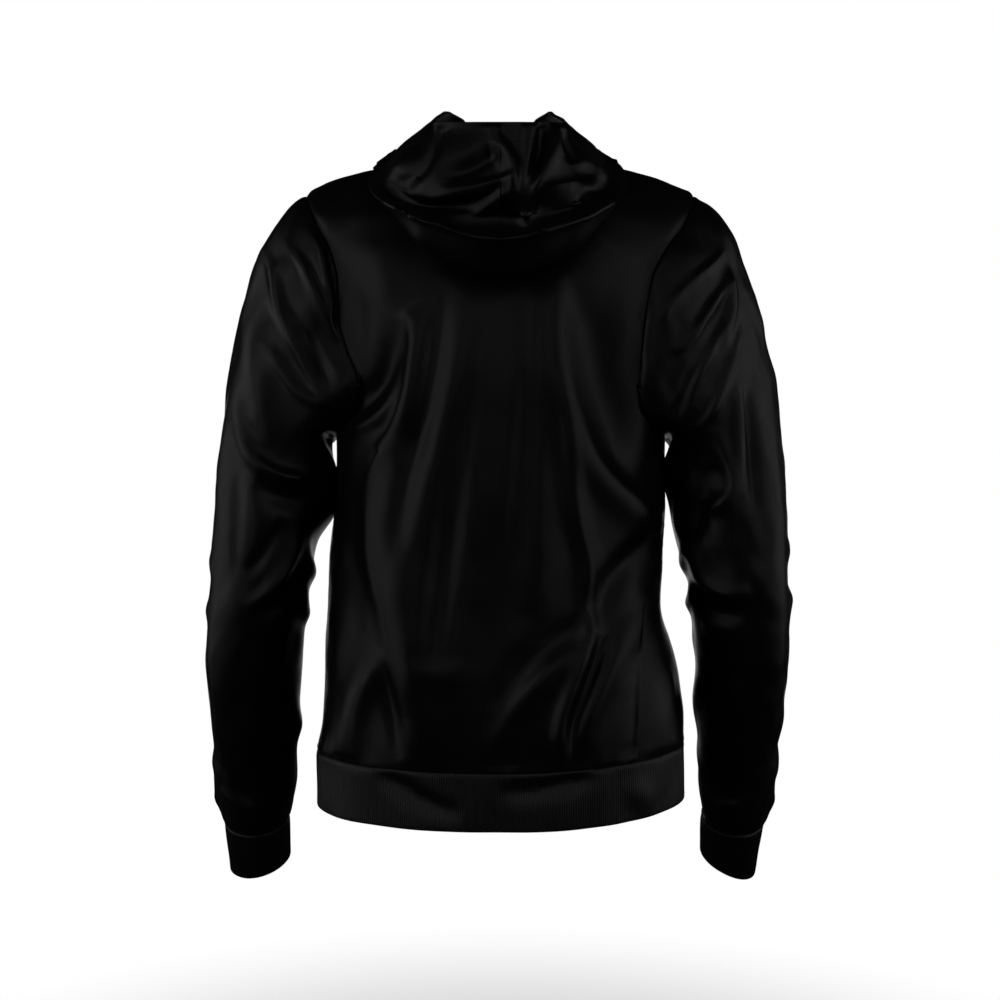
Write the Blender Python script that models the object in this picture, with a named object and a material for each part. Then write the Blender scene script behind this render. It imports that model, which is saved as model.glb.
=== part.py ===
"""A pullover hoodie, filled out as if worn, with its hood down on the back.

World axes: +Z up, the back of the garment faces -Y, its front +Y, and the wearer's right is +X.
The origin is the middle of the neck opening at the height of the shoulders. Every piece is one wall of
cloth over one shared form: the body is a stack of rounded sections, the sleeves are rings along bent
arms, and the hood is a bag whose profile is turned round the neck. Tables are in millimetres, a row for
each section; the rest is in metres.
"""

from typing import NamedTuple

import bpy
import numpy as np

MM = 0.001
DEGREE = np.pi / 180

# ---- Cloth ---------------------------------------------------------------------------------------
BODY_WALL = 0.0018
RIB_WALL = 0.0024
SEAM_GAP = 0.0003
SAME_PLACE = 1e-6
SHARP_ANGLE = 50 * DEGREE

# ---- Body ----------------------------------------------------------------------------------------
SQUARENESS = 2.3
FORM_REACH = 0.4
HALVINGS = 40
HEM_SEAM_Z = -0.598
HEM_Z = -0.654
HEM_RISE_LEFT = 0.006
HEM_RISE_RIGHT = 0.014
HEM_RISE_BEND = 2.2
UNDERARM_Z = -0.273
SHOULDER_TIP_Z = -0.021
NECK_SIDE_Z = 0.018
BACK_NECK_Z = -0.004
FRONT_NECK_Z = -0.068
BACK_NECK_BEND = 2.2
FRONT_NECK_BEND = 2.6

BODY_ROWS = 9
ARMHOLE_ROWS = 10
ARMHOLE_CLUSTER = 1.5
SHOULDER_COLUMNS = 6
BACK_NECK_COLUMNS = 6
FRONT_NECK_COLUMNS = 5
WAISTBAND_ROWS = 1


class Section(NamedTuple):
    """One level section of the body: how far it reaches to each side, to the back and to the front."""

    height: float
    left: float
    right: float
    back: float
    front: float


BODY = (
    Section(height=-660, left=190, right=191, back=121, front=117),
    Section(height=-598, left=190, right=191, back=122, front=118),
    Section(height=-560, left=184, right=191, back=125, front=121),
    Section(height=-520, left=181, right=186, back=125, front=122),
    Section(height=-480, left=180, right=175, back=123, front=122),
    Section(height=-440, left=178, right=166, back=121, front=121),
    Section(height=-400, left=177, right=168, back=121, front=122),
    Section(height=-340, left=172, right=171, back=123, front=124),
    Section(height=-273, left=169, right=169, back=125, front=127),
    Section(height=-215, left=176, right=176, back=127, front=127),
    Section(height=-150, left=198, right=198, back=123, front=121),
    Section(height=-100, left=214, right=214, back=113, front=109),
    Section(height=-60, left=220, right=220, back=98, front=96),
    Section(height=-33, left=211, right=211, back=84, front=83),
    Section(height=-21, left=200, right=200, back=76, front=77),
    Section(height=-10, left=179, right=179, back=68, front=71),
    Section(height=-2, left=153, right=153, back=62, front=66),
    Section(height=5, left=128, right=128, back=57, front=60),
    Section(height=12, left=107, right=107, back=52, front=54),
    Section(height=18, left=90, right=90, back=47, front=47),
)


class Armhole(NamedTuple):
    """How far from the middle the armhole seam runs at a height, on the back and on the front."""

    height: float
    back_left: float
    back_right: float
    front_left: float
    front_right: float


ARMHOLE = (
    Armhole(height=-273, back_left=169, back_right=169, front_left=169, front_right=169),
    Armhole(height=-262, back_left=156, back_right=152, front_left=150, front_right=150),
    Armhole(height=-245, back_left=144, back_right=140, front_left=138, front_right=138),
    Armhole(height=-220, back_left=139, back_right=137, front_left=133, front_right=133),
    Armhole(height=-185, back_left=152, back_right=139, front_left=136, front_right=136),
    Armhole(height=-150, back_left=160, back_right=143, front_left=143, front_right=143),
    Armhole(height=-120, back_left=160, back_right=148, front_left=151, front_right=151),
    Armhole(height=-90, back_left=167, back_right=162, front_left=162, front_right=162),
    Armhole(height=-60, back_left=183, back_right=184, front_left=179, front_right=179),
    Armhole(height=-21, back_left=200, back_right=200, front_left=200, front_right=200),
)


class SideSeam(NamedTuple):
    """Where the side seams run at a height, in degrees round from the middle of the back."""

    height: float
    left: float
    right: float


SIDE_SEAM = (
    SideSeam(height=-660, left=95, right=45),
    SideSeam(height=-598, left=95, right=45),
    SideSeam(height=-540, left=94, right=47),
    SideSeam(height=-460, left=92, right=58),
    SideSeam(height=-380, left=91, right=76),
    SideSeam(height=-320, left=90, right=88),
    SideSeam(height=-273, left=90, right=90),
)

# ---- Large folds of the back ---------------------------------------------------------------------


class Fold(NamedTuple):
    """One soft ridge down the back: its rise, half its width, and its place at heights from its top."""

    rise: float
    width: float
    places: tuple


class Place(NamedTuple):
    """A point that a fold runs through."""

    height: float
    across: float


FOLDS = (
    Fold(rise=9, width=17, places=(Place(-135, 55), Place(-180, 57), Place(-260, 62), Place(-336, 76),
                                   Place(-393, 88), Place(-470, 84), Place(-518, 67), Place(-590, 60))),
    Fold(rise=8, width=16, places=(Place(-288, 86), Place(-317, 105), Place(-350, 130), Place(-389, 122))),
    Fold(rise=8, width=16, places=(Place(-155, -86), Place(-250, -96), Place(-300, -110), Place(-380, -118),
                                   Place(-441, -107), Place(-527, -93), Place(-590, -83))),
    Fold(rise=4, width=20, places=(Place(-150, -61), Place(-240, -64), Place(-393, -72), Place(-500, -78))),
    Fold(rise=4, width=22, places=(Place(-145, -8), Place(-336, -18), Place(-527, -34), Place(-590, -36))),
)
FOLD_FADE = 0.05
FOLD_HEM_FADE = 0.03
FOLD_SIDE_FADE = 0.15

# ---- Sleeves -------------------------------------------------------------------------------------
ARM_SIDES = 2 * ARMHOLE_ROWS
CAP_ROWS = 5
CAP_CLUSTER = 1.4


class Cap(NamedTuple):
    """How the sleeve leaves the armhole at one turn round it, in degrees from the shoulder tip.

    `lift` is how strongly it sets off outwards, `climb` how much of that is upwards, and `drop` how
    strongly it arrives down the arm.
    """

    turn: float
    lift: float
    climb: float
    drop: float


CAP = (
    Cap(turn=0, lift=155, climb=-0.25, drop=450),
    Cap(turn=90, lift=100, climb=-0.3, drop=160),
    Cap(turn=140, lift=80, climb=0.1, drop=100),
    Cap(turn=165, lift=60, climb=0.4, drop=70),
    Cap(turn=180, lift=34, climb=0.6, drop=50),
)


class Ring(NamedTuple):
    """One ring of the sleeves: where its middle is, half its width and depth, and how it leans.

    `lean` is in degrees, lower at the back, and `dip` is how far the outer side hangs below the middle.
    """

    height: float
    out_left: float
    out_right: float
    fore: float
    half_left: float
    half_right: float
    deep: float
    lean: float
    dip_left: float = 0
    dip_right: float = 0


ARM = (
    Ring(height=-310, out_left=234, out_right=235, fore=-4, half_left=59, half_right=60, deep=66, lean=0),
    Ring(height=-336, out_left=235, out_right=236, fore=-6, half_left=60, half_right=61, deep=66, lean=0),
    Ring(height=-378, out_left=244, out_right=240, fore=-6, half_left=53, half_right=58, deep=63, lean=4),
    Ring(height=-420, out_left=249, out_right=248, fore=-2, half_left=51, half_right=52, deep=61, lean=10),
    Ring(height=-462, out_left=255, out_right=252, fore=8, half_left=49, half_right=50, deep=58, lean=15),
    Ring(height=-506, out_left=259, out_right=255, fore=21, half_left=49, half_right=49, deep=56, lean=18),
    Ring(height=-550, out_left=261, out_right=256, fore=36, half_left=47, half_right=47, deep=54, lean=19),
    Ring(height=-596, out_left=263, out_right=256, fore=52, half_left=45, half_right=43, deep=52, lean=19),
    Ring(height=-642, out_left=266, out_right=257, fore=68, half_left=44, half_right=41, deep=50, lean=19),
    Ring(height=-665, out_left=267, out_right=257, fore=76, half_left=40, half_right=38, deep=46, lean=19),
    Ring(height=-684, out_left=267, out_right=256, fore=82, half_left=35, half_right=34, deep=40, lean=19),
)
CUFF = (
    ARM[-1],
    Ring(height=-711, out_left=267, out_right=255, fore=93, half_left=34, half_right=32, deep=38, lean=19,
         dip_left=2, dip_right=4),
    Ring(height=-736, out_left=267, out_right=254, fore=103, half_left=33, half_right=30, deep=36, lean=19,
         dip_left=5, dip_right=9),
)

# ---- Hood ----------------------------------------------------------------------------------------
NECK_AXIS_Y = -0.005
HOOD_OFF_BODY = 0.003
HOOD_OVER_BODY = 0.006
FORM_LOW_Z = -0.14
CREST_OVER_FOLD = 0.004
STAND_HEIGHT = 0.010
STAND_OUT = 0.005
UNDER_SHARES = (0.15, 0.35, 0.6, 0.85)
LEAST_STEP = 1e-4


class HoodSection(NamedTuple):
    """The hood's profile at one turn, in degrees from the middle of the back.

    `full` is how far the bag opens, from a single wall at 0 to the whole bag at 1, and `right_in` is how
    much nearer the right half runs. Each other field is a distance from the neck's axis and a height: the
    bottom fold, the crest of the lower roll, the crease over it, the upper lobe and the rim of the face
    opening.
    """

    turn: float
    full: float
    right_in: float
    fold: tuple
    crest: tuple
    crease: tuple
    lobe: tuple
    rim: tuple


HOOD = (
    HoodSection(turn=0, full=1.0, right_in=0, fold=(150, -134), crest=(185, -99), crease=(131, -59),
                lobe=(153, -36), rim=(99, 37)),
    HoodSection(turn=25, full=1.0, right_in=0, fold=(150, -106), crest=(182, -77), crease=(137, -57),
                lobe=(152, -31), rim=(93, 41)),
    HoodSection(turn=45, full=1.0, right_in=2, fold=(147, -61), crest=(166, -47), crease=(149, -31),
                lobe=(133, 1), rim=(78, 52)),
    HoodSection(turn=65, full=1.0, right_in=5, fold=(139, -21), crest=(146, -12), crease=(131, 3),
                lobe=(108, 27), rim=(63, 61)),
    HoodSection(turn=90, full=1.0, right_in=6, fold=(127, 9), crest=(132, 13), crease=(115, 27),
                lobe=(91, 45), rim=(52, 67)),
    HoodSection(turn=120, full=0.9, right_in=4, fold=(119, 2), crest=(125, 7), crease=(113, 18),
                lobe=(93, 37), rim=(58, 63)),
    HoodSection(turn=150, full=0.5, right_in=0, fold=(116, -30), crest=(121, -22), crease=(115, -10),
                lobe=(103, 8), rim=(80, 30)),
    HoodSection(turn=180, full=0.0, right_in=0, fold=(114, -56), crest=(116, -50), crease=(113, -44),
                lobe=(108, -36), rim=(102, -26)),
)
SPAN_SAMPLES = (1, 1, 1, 1, 1, 1, 1, 2, 2, 2, 2)

# ---- Materials -----------------------------------------------------------------------------------
CLOTH_COLOUR = (0.012, 0.012, 0.013, 1.0)
CLOTH_ROUGHNESS = 0.55
RIB_COLOUR = (0.010, 0.010, 0.011, 1.0)
RIB_ROUGHNESS = 0.7


# ---- Reading the tables --------------------------------------------------------------------------


def smooth(at, knots, values):
    """Values read between rising knots along a curve that never swings past them."""
    knots = np.asarray(knots, float)
    values = np.asarray(values, float)
    steps = np.diff(knots)
    slopes = np.diff(values) / steps
    tangents = np.concatenate([slopes[:1], np.zeros(len(knots) - 2), slopes[-1:]])
    product = slopes[:-1] * slopes[1:]
    total = slopes[:-1] + slopes[1:]
    turning = product <= 0
    tangents[1:-1] = np.where(turning, 0.0, 2 * product / np.where(turning, 1.0, total))
    at = np.clip(at, knots[0], knots[-1])
    span = np.clip(np.searchsorted(knots, at, side="right") - 1, 0, len(steps) - 1)
    t = (at - knots[span]) / steps[span]
    start = (1 + 2 * t) * (1 - t) ** 2 * values[span] + t * (1 - t) ** 2 * steps[span] * tangents[span]
    end = t**2 * (3 - 2 * t) * values[span + 1] + t**2 * (t - 1) * steps[span] * tangents[span + 1]
    return start + end


def read(table, column, at, at_unit=MM, unit=MM):
    """One named column of a table, in its unit, at values of the table's first column."""
    knots = [row[0] * at_unit for row in table]
    values = [getattr(row, column) * unit for row in table]
    return smooth(at, knots, values)


def side_name(side):
    """The wearer's left is side -1, and the right is side +1."""
    return "left" if side < 0 else "right"


def ease(t):
    """From 0 to 1 with flat ends."""
    t = np.clip(t, 0.0, 1.0)
    return t * t * (3 - 2 * t)


# ---- The form of the body ------------------------------------------------------------------------


def reach(z, across):
    """Half the width of the body's section at these heights, on the side that `across` is on."""
    return np.where(across < 0, read(BODY, "left", z), read(BODY, "right", z))


def form_point(across, z, facing):
    """Points of the form at these places across and up, on its back (facing -1) or front (facing +1)."""
    share = np.clip(np.abs(across) / reach(z, across), 0.0, 1.0)
    deep = read(BODY, "back" if facing < 0 else "front", z)
    y = facing * deep * (1 - share**SQUARENESS) ** (1 / SQUARENESS)
    return np.stack([across, y, z], axis=-1)


def form_radius(turn, z, side):
    """How far from the neck's axis the form's section reaches at these turns (radians) and heights."""
    shape = np.broadcast(turn, z).shape
    near, far = np.zeros(shape), np.full(shape, FORM_REACH)
    half = read(BODY, side_name(side), z)
    for _ in range(HALVINGS):
        middle = (near + far) / 2
        x, y = middle * np.sin(turn), NECK_AXIS_Y - middle * np.cos(turn)
        deep = np.where(y < 0, read(BODY, "back", z), read(BODY, "front", z))
        inside = np.abs(x / half) ** SQUARENESS + np.abs(y / deep) ** SQUARENESS < 1
        near, far = np.where(inside, middle, near), np.where(inside, far, middle)
    return near


def form_height(turn, r, side):
    """The height at which the form's upper part is this far from the neck's axis at these turns."""
    low, high = np.full(turn.shape, FORM_LOW_Z), np.full(turn.shape, NECK_SIDE_Z)
    for _ in range(HALVINGS):
        middle = (low + high) / 2
        wide = form_radius(turn, middle, side) > r
        low, high = np.where(wide, middle, low), np.where(wide, high, middle)
    return low


def section_normal(points, side):
    """Level unit vectors square to the form's section at these points."""
    half = read(BODY, side_name(side), points[..., 2])
    behind = points[..., 1] < 0
    deep = np.where(behind, read(BODY, "back", points[..., 2]), read(BODY, "front", points[..., 2]))
    across, along = points[..., 0] / half, points[..., 1] / deep
    power = SQUARENESS - 1
    normal = np.stack([np.sign(across) * np.abs(across) ** power / half,
                       np.sign(along) * np.abs(along) ** power / deep, 0 * half], axis=-1)
    return normal / np.linalg.norm(normal, axis=-1, keepdims=True)


def fold_rise(points):
    """How far the folds of the back lift the cloth at these points of the form."""
    across, z = points[..., 0], points[..., 2]
    lift = np.zeros(across.shape)
    for fold in FOLDS:
        places = fold.places[::-1]
        line = read(places, "across", z)
        low, high = places[0].height * MM, places[-1].height * MM
        ends = ease((z - low + FOLD_FADE) / FOLD_FADE) * ease((high + FOLD_FADE - z) / FOLD_FADE)
        lift += fold.rise * MM * ends * np.exp(-(((across - line) / (fold.width * MM)) ** 2))
    return lift


# ---- Grids of points -----------------------------------------------------------------------------


def seam_angle(side, z):
    """How far round from the middle of the back the side seam runs at these heights, in radians."""
    return read(SIDE_SEAM, side_name(side), z, unit=DEGREE)


def body_heights():
    """Heights of the rows from the hem seam to the underarm."""
    return np.linspace(HEM_SEAM_Z, UNDERARM_Z, BODY_ROWS + 1)


def lower_half(side, facing, heights, columns):
    """Half a panel below the underarm, its columns from the middle to the side seam."""
    seam = seam_angle(side, heights)[:, None]
    angle = np.linspace(0, 1, columns + 1)[None] * (seam if facing < 0 else np.pi - seam)
    rise = (HEM_RISE_LEFT if side < 0 else HEM_RISE_RIGHT) * np.sin(angle) ** HEM_RISE_BEND
    z = heights[:, None] + rise * ((UNDERARM_Z - heights) / (UNDERARM_Z - HEM_SEAM_Z))[:, None]
    across = side * np.sin(angle) * read(BODY, side_name(side), z)
    beyond = np.cos(angle) < 0
    return np.where(beyond[..., None], form_point(across, z, -facing), form_point(across, z, facing))


def upper_half(side, facing, neck_columns):
    """Half a panel above the underarm, its columns from the middle to the armhole."""
    columns = neck_columns + SHOULDER_COLUMNS
    neck_z, bend = (BACK_NECK_Z, BACK_NECK_BEND) if facing < 0 else (FRONT_NECK_Z, FRONT_NECK_BEND)
    half = read(BODY, side_name(side), NECK_SIDE_Z)
    tip = read(BODY, side_name(side), SHOULDER_TIP_Z)
    share = np.sin(np.pi / 2 * np.linspace(0, 1, neck_columns + 1))
    neck_top = neck_z + (NECK_SIDE_Z - neck_z) * share**bend
    shoulder_top = np.linspace(NECK_SIDE_Z, SHOULDER_TIP_Z, SHOULDER_COLUMNS + 1)[1:]
    top_z = np.concatenate([neck_top, shoulder_top])
    top_share = np.concatenate([share * half, read(BODY, side_name(side), shoulder_top)]) / tip
    rise = ((1 - np.cos(np.pi * np.linspace(0, 1, ARMHOLE_ROWS + 1)[1:, None])) / 2) ** ARMHOLE_CLUSTER
    z = UNDERARM_Z + (top_z[None] - UNDERARM_Z) * rise
    column = ("back_" if facing < 0 else "front_") + side_name(side)
    border = read(ARMHOLE, column, z[:, -1:])
    low_share = np.sin(np.pi / 2 * np.linspace(0, 1, columns + 1))[None]
    blend = ease(rise)
    across = side * border * (low_share * (1 - blend) + top_share[None] * blend)
    return form_point(across, z, facing)


def folded(points, side):
    """Half of the back with its folds raised, all but its seams."""
    share = np.linspace(0, 1, points.shape[1])
    lift = fold_rise(points) * ease((1 - share) / FOLD_SIDE_FADE)
    lift *= ease((points[..., 2] - HEM_SEAM_Z) / FOLD_HEM_FADE)
    return points + lift[..., None] * section_normal(points, side)


def panel(facing, neck_columns):
    """The whole grid of the back or front: rows from hem seam to top, columns from left to right."""
    halves = []
    for side in (-1, 1):
        lower = lower_half(side, facing, body_heights(), neck_columns + SHOULDER_COLUMNS)
        half = np.concatenate([lower, upper_half(side, facing, neck_columns)])
        halves.append(folded(half, side) if facing < 0 else half)
    return np.concatenate([halves[0][:, :0:-1], halves[1]], axis=1)


def arm_ring(row, side):
    """Points round one ring of a sleeve, from the outer point by the back to the inner and the front."""
    turn = np.linspace(0, 2 * np.pi, ARM_SIDES + 1)[:-1]
    out = getattr(row, "out_" + side_name(side)) + getattr(row, "half_" + side_name(side)) * np.cos(turn)
    back = row.deep * np.sin(turn)
    y = row.fore - back * np.cos(row.lean * DEGREE)
    z = row.height - back * np.sin(row.lean * DEGREE)
    z -= getattr(row, "dip_" + side_name(side)) * np.cos(turn)
    return np.stack([side * out, y, z], axis=-1) * MM


def armhole_loop(back, front, side):
    """The armhole's vertices from the shoulder tip down the back and up the front."""
    column = 0 if side < 0 else -1
    down = back[BODY_ROWS:, column][::-1]
    up = front[BODY_ROWS:, column]
    return np.concatenate([down, up[1:-1]])


def sleeve(loop, side):
    """The grid of a sleeve: the cap from the armhole, then the rings of the arm."""
    rings = np.stack([arm_ring(row, side) for row in ARM])
    turn = np.linspace(0, 2 * np.pi, ARM_SIDES + 1)[:-1]
    turn = np.minimum(turn, 2 * np.pi - turn)
    lift = read(CAP, "lift", turn, at_unit=DEGREE)[:, None]
    drop = read(CAP, "drop", turn, at_unit=DEGREE)[:, None]
    outward = (section_normal(loop, side) + np.array([side, 0.0, 0.0])) / 2
    outward[:, 2] = read(CAP, "climb", turn, at_unit=DEGREE, unit=1.0)
    along = (rings[1] - rings[0]) / np.linalg.norm(rings[1] - rings[0], axis=1, keepdims=True)
    t = np.linspace(0, 1, CAP_ROWS + 1)[:-1, None, None] ** CAP_CLUSTER
    cap = (
        (1 + 2 * t) * (1 - t) ** 2 * loop
        + t * (1 - t) ** 2 * lift * outward
        + t**2 * (3 - 2 * t) * rings[0]
        + t**2 * (t - 1) * drop * along
    )
    return np.concatenate([cap, rings])


def spline(points, samples):
    """Rows read along a curve through the given rows, with so many steps to each span."""
    gap = np.maximum(np.linalg.norm(np.diff(points, axis=0), axis=-1) ** 0.5, LEAST_STEP)
    at = np.concatenate([np.zeros((1,) + gap.shape[1:]), np.cumsum(gap, axis=0)])[..., None]
    slope = np.diff(points, axis=0) / np.diff(at, axis=0)
    weight = np.diff(at, axis=0)
    inner = (slope[:-1] * weight[1:] + slope[1:] * weight[:-1]) / (weight[1:] + weight[:-1])
    tangent = np.concatenate([slope[:1], inner, slope[-1:]])
    rows = []
    for k, count in enumerate(samples):
        for t in np.arange(count) / count:
            rows.append(
                (1 + 2 * t) * (1 - t) ** 2 * points[k]
                + t * (1 - t) ** 2 * weight[k] * tangent[k]
                + t**2 * (3 - 2 * t) * points[k + 1]
                + t**2 * (t - 1) * weight[k] * tangent[k + 1]
            )
    rows.append(points[-1])
    return np.stack(rows)


def neck_vertices(back, front, side):
    """The neck seam on one side, from the middle of the back to the middle of the front.

    Each step of the panels' edges gets a vertex in its middle, except the two at the shoulder seam. The
    second value says which vertices those are.
    """
    middle_back, middle_front = back.shape[1] // 2, front.shape[1] // 2
    behind = back[-1, middle_back:middle_back + side * (BACK_NECK_COLUMNS + 1):side]
    before = front[-1, middle_front:middle_front + side * (FRONT_NECK_COLUMNS + 1):side][::-1]
    seam = np.concatenate([behind, before[1:]])
    fine = np.empty((2 * len(seam) - 1, 3))
    fine[::2] = seam
    fine[1::2] = (seam[1:] + seam[:-1]) / 2
    by_shoulder = [2 * BACK_NECK_COLUMNS - 1, 2 * BACK_NECK_COLUMNS + 1]
    added = np.arange(len(fine)) % 2 == 1
    return np.delete(fine, by_shoulder, axis=0), np.delete(added, by_shoulder)


def hood(neck, side):
    """The grid of half the hood: rows up its profile, columns round the neck from back to front."""
    turn = np.arctan2(np.abs(neck[:, 0]), NECK_AXIS_Y - neck[:, 1])
    base = np.stack([np.hypot(neck[:, 0], neck[:, 1] - NECK_AXIS_Y), neck[:, 2]], axis=-1)

    def line(name):
        """Distances and heights of one line of the profile at these turns."""
        knots = [row.turn * DEGREE for row in HOOD]
        away, up = (smooth(turn, knots, [getattr(row, name)[k] * MM for row in HOOD]) for k in (0, 1))
        return np.stack([away - pull, up], axis=-1)

    def on_body(z):
        """Points just off the form at these heights."""
        r = form_radius(turn, z - HOOD_OVER_BODY, side) + HOOD_OFF_BODY
        return np.stack([r, z], axis=-1)

    pull = read(HOOD, "right_in", turn, at_unit=DEGREE) * (side > 0)
    lines = {name: line(name) for name in ("fold", "crest", "crease", "lobe", "rim")}
    fold, crest = lines["fold"], lines["crest"]
    bed = form_height(turn, fold[:, 0] - HOOD_OFF_BODY, side) + HOOD_OVER_BODY
    fold[:, 1] = np.maximum(fold[:, 1], bed)
    crest[:, 1] = np.maximum(crest[:, 1], fold[:, 1] + CREST_OVER_FOLD)

    full = read(HOOD, "full", turn, at_unit=DEGREE, unit=1.0)[:, None]
    stand = base + np.array([STAND_OUT, STAND_HEIGHT])
    over_z = base[:, 1] + STAND_HEIGHT / 2
    fall = fold[:, 1] - over_z
    under = [on_body(over_z + share * fall) for share in (0, *UNDER_SHARES)]
    bag = np.stack([base, stand, *under, *lines.values()])
    share = np.linspace(0, 1, len(bag))[:, None, None]
    single = base * (1 - share) + lines["rim"] * share
    profile = spline(full * bag + (1 - full) * single, SPAN_SAMPLES)
    r, z = profile[..., 0], profile[..., 1]
    return np.stack([side * r * np.sin(turn), NECK_AXIS_Y - r * np.cos(turn), z], axis=-1)


# ---- From grids to walls of cloth ----------------------------------------------------------------


def face_corners(rows, columns, tube):
    """The four corners of each face of a grid, as indices."""
    index = np.arange(rows * columns).reshape(rows, columns)
    right = np.roll(index, -1, axis=1) if tube else index[:, 1:]
    left = index if tube else index[:, :-1]
    return np.stack([left[:-1], right[:-1], right[1:], left[1:]], axis=-1).reshape(-1, 4)


def split(corners, points):
    """Each four-cornered face as two triangles, cut along its shorter diagonal."""
    a, b, c, d = corners.T
    one = np.linalg.norm(points[a] - points[c], axis=1) <= np.linalg.norm(points[b] - points[d], axis=1)
    first = np.where(one[:, None], np.stack([a, b, c], axis=-1), np.stack([a, b, d], axis=-1))
    second = np.where(one[:, None], np.stack([a, c, d], axis=-1), np.stack([b, c, d], axis=-1))
    return np.concatenate([first, second])


def outward_normals(pieces):
    """A normal at every vertex, shared by all pieces at the seams, from the faces round it."""
    places, normals = [], []
    for grid, tube in pieces:
        points = grid.reshape(-1, 3)
        corners = points[face_corners(*grid.shape[:2], tube)]
        facing = np.cross(corners[:, 2] - corners[:, 0], corners[:, 3] - corners[:, 1])
        total = np.zeros(points.shape)
        for k in range(4):
            np.add.at(total, face_corners(*grid.shape[:2], tube)[:, k], facing)
        places.append(points)
        normals.append(total)
    everywhere = np.concatenate(places)
    _, same = np.unique(np.round(everywhere / SAME_PLACE).astype(np.int64), axis=0, return_inverse=True)
    summed = np.zeros((same.max() + 1, 3))
    np.add.at(summed, same.reshape(-1), np.concatenate(normals))
    shared = summed[same.reshape(-1)]
    shared /= np.linalg.norm(shared, axis=1, keepdims=True)
    ends = np.cumsum([len(place) for place in places])[:-1]
    return [part.reshape(grid.shape) for part, (grid, _) in zip(np.split(shared, ends), pieces)]


def edge_run(points, closed):
    """Unit vectors along an edge at each of its points."""
    if closed:
        run = np.roll(points, -1, axis=0) - np.roll(points, 1, axis=0)
    else:
        run = np.gradient(points, axis=0)
    return run / np.linalg.norm(run, axis=-1, keepdims=True)


def trimmed(grid, normals, tube):
    """The grid with its edges drawn in by half the seam gap, square to each edge."""
    result = grid.copy()
    for row, inward in ((0, 1), (-1, -1)):
        square = np.cross(normals[row], edge_run(grid[row], tube))
        result[row] += inward * SEAM_GAP / 2 * square
    if not tube:
        for column, inward in ((0, -1), (-1, 1)):
            square = np.cross(normals[:, column], edge_run(grid[:, column], False))
            result[:, column] += inward * SEAM_GAP / 2 * square
    return result


def wall(name, grid, normals, tube, thickness, material, collection):
    """One closed piece of cloth: the grid is its outer side, and its inner side lies a wall behind."""
    rows, columns = grid.shape[:2]
    outer = trimmed(grid, normals, tube)
    inner = outer - normals * thickness
    skin = split(face_corners(rows, columns, tube), outer.reshape(-1, 3))
    index = np.arange(rows * columns).reshape(rows, columns)
    count = rows * columns
    borders = [index[0], index[-1][::-1]]
    if tube:
        borders = [np.append(border, border[0]) for border in borders]
    else:
        borders += [index[::-1, 0], index[:, -1]]
    rims = [np.stack([b[1:], b[:-1], b[:-1] + count, b[1:] + count], axis=-1) for b in borders]
    untrimmed = np.concatenate([grid, grid - normals * thickness]).reshape(-1, 3)
    edge = split(np.concatenate(rims), untrimmed)
    mesh = bpy.data.meshes.new(name)
    vertices = np.concatenate([outer.reshape(-1, 3), inner.reshape(-1, 3)])
    mesh.from_pydata(vertices, [], np.concatenate([skin, skin[:, ::-1] + count, edge]).tolist())
    mesh.materials.append(material)
    mesh.shade_smooth()
    mesh.set_sharp_from_angle(angle=SHARP_ANGLE)
    collection.objects.link(bpy.data.objects.new(name, mesh))


def cloth_material(name, colour, roughness):
    """A plain matt material of this colour."""
    material = bpy.data.materials.new(name)
    material.use_nodes = True
    shader = material.node_tree.nodes["Principled BSDF"]
    shader.inputs["Base Color"].default_value = colour
    shader.inputs["Roughness"].default_value = roughness
    shader.inputs["Metallic"].default_value = 0.0
    material.diffuse_color = colour
    return material


def clear_scene():
    """Removes whatever the scene holds at the start."""
    for item in list(bpy.data.objects):
        bpy.data.objects.remove(item, do_unlink=True)


def main():
    """Builds every piece of the hoodie in its collection."""
    clear_scene()
    collection = bpy.data.collections.new("hoodie")
    bpy.context.scene.collection.children.link(collection)
    body_cloth = cloth_material("body_cloth", CLOTH_COLOUR, CLOTH_ROUGHNESS)
    rib_cloth = cloth_material("rib_cloth", RIB_COLOUR, RIB_ROUGHNESS)

    back = panel(-1, BACK_NECK_COLUMNS)
    front = panel(1, FRONT_NECK_COLUMNS)
    hem = np.concatenate([back[0], front[0, -2:0:-1]])
    hem_heights = np.linspace(0, HEM_Z - HEM_SEAM_Z, WAISTBAND_ROWS + 1)[::-1]
    band = hem[None] + np.stack([0 * hem_heights, 0 * hem_heights, hem_heights], axis=-1)[:, None]

    plan = {
        "back": (back, False, BODY_WALL, body_cloth),
        "front": (front[:, ::-1], False, BODY_WALL, body_cloth),
        "waistband": (band, True, RIB_WALL, rib_cloth),
    }
    between = {}
    for side in (-1, 1):
        word = side_name(side)
        arm = sleeve(armhole_loop(back, front, side), side)
        cuff = np.stack([arm_ring(row, side) for row in CUFF])
        neck, added = neck_vertices(back, front, side)
        bag = hood(neck, side)
        if side < 0:
            arm, cuff, bag, added = arm[:, ::-1], cuff[:, ::-1], bag[:, ::-1], added[::-1]
        between[word] = np.flatnonzero(added)
        plan["sleeve_" + word] = (arm, True, BODY_WALL, body_cloth)
        plan["cuff_" + word] = (cuff, True, RIB_WALL, rib_cloth)
        plan["hood_" + word] = (bag, False, BODY_WALL, body_cloth)

    normals = outward_normals([(grid, tube) for grid, tube, _, _ in plan.values()])
    for (name, (grid, tube, thickness, material)), normal in zip(plan.items(), normals):
        if name.startswith("hood"):
            middle = between[name.split("_")[1]]
            normal[0, middle] = (normal[0, middle - 1] + normal[0, middle + 1]) / 2
        wall(name, grid, normal, tube, thickness, material, collection)


main()
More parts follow.
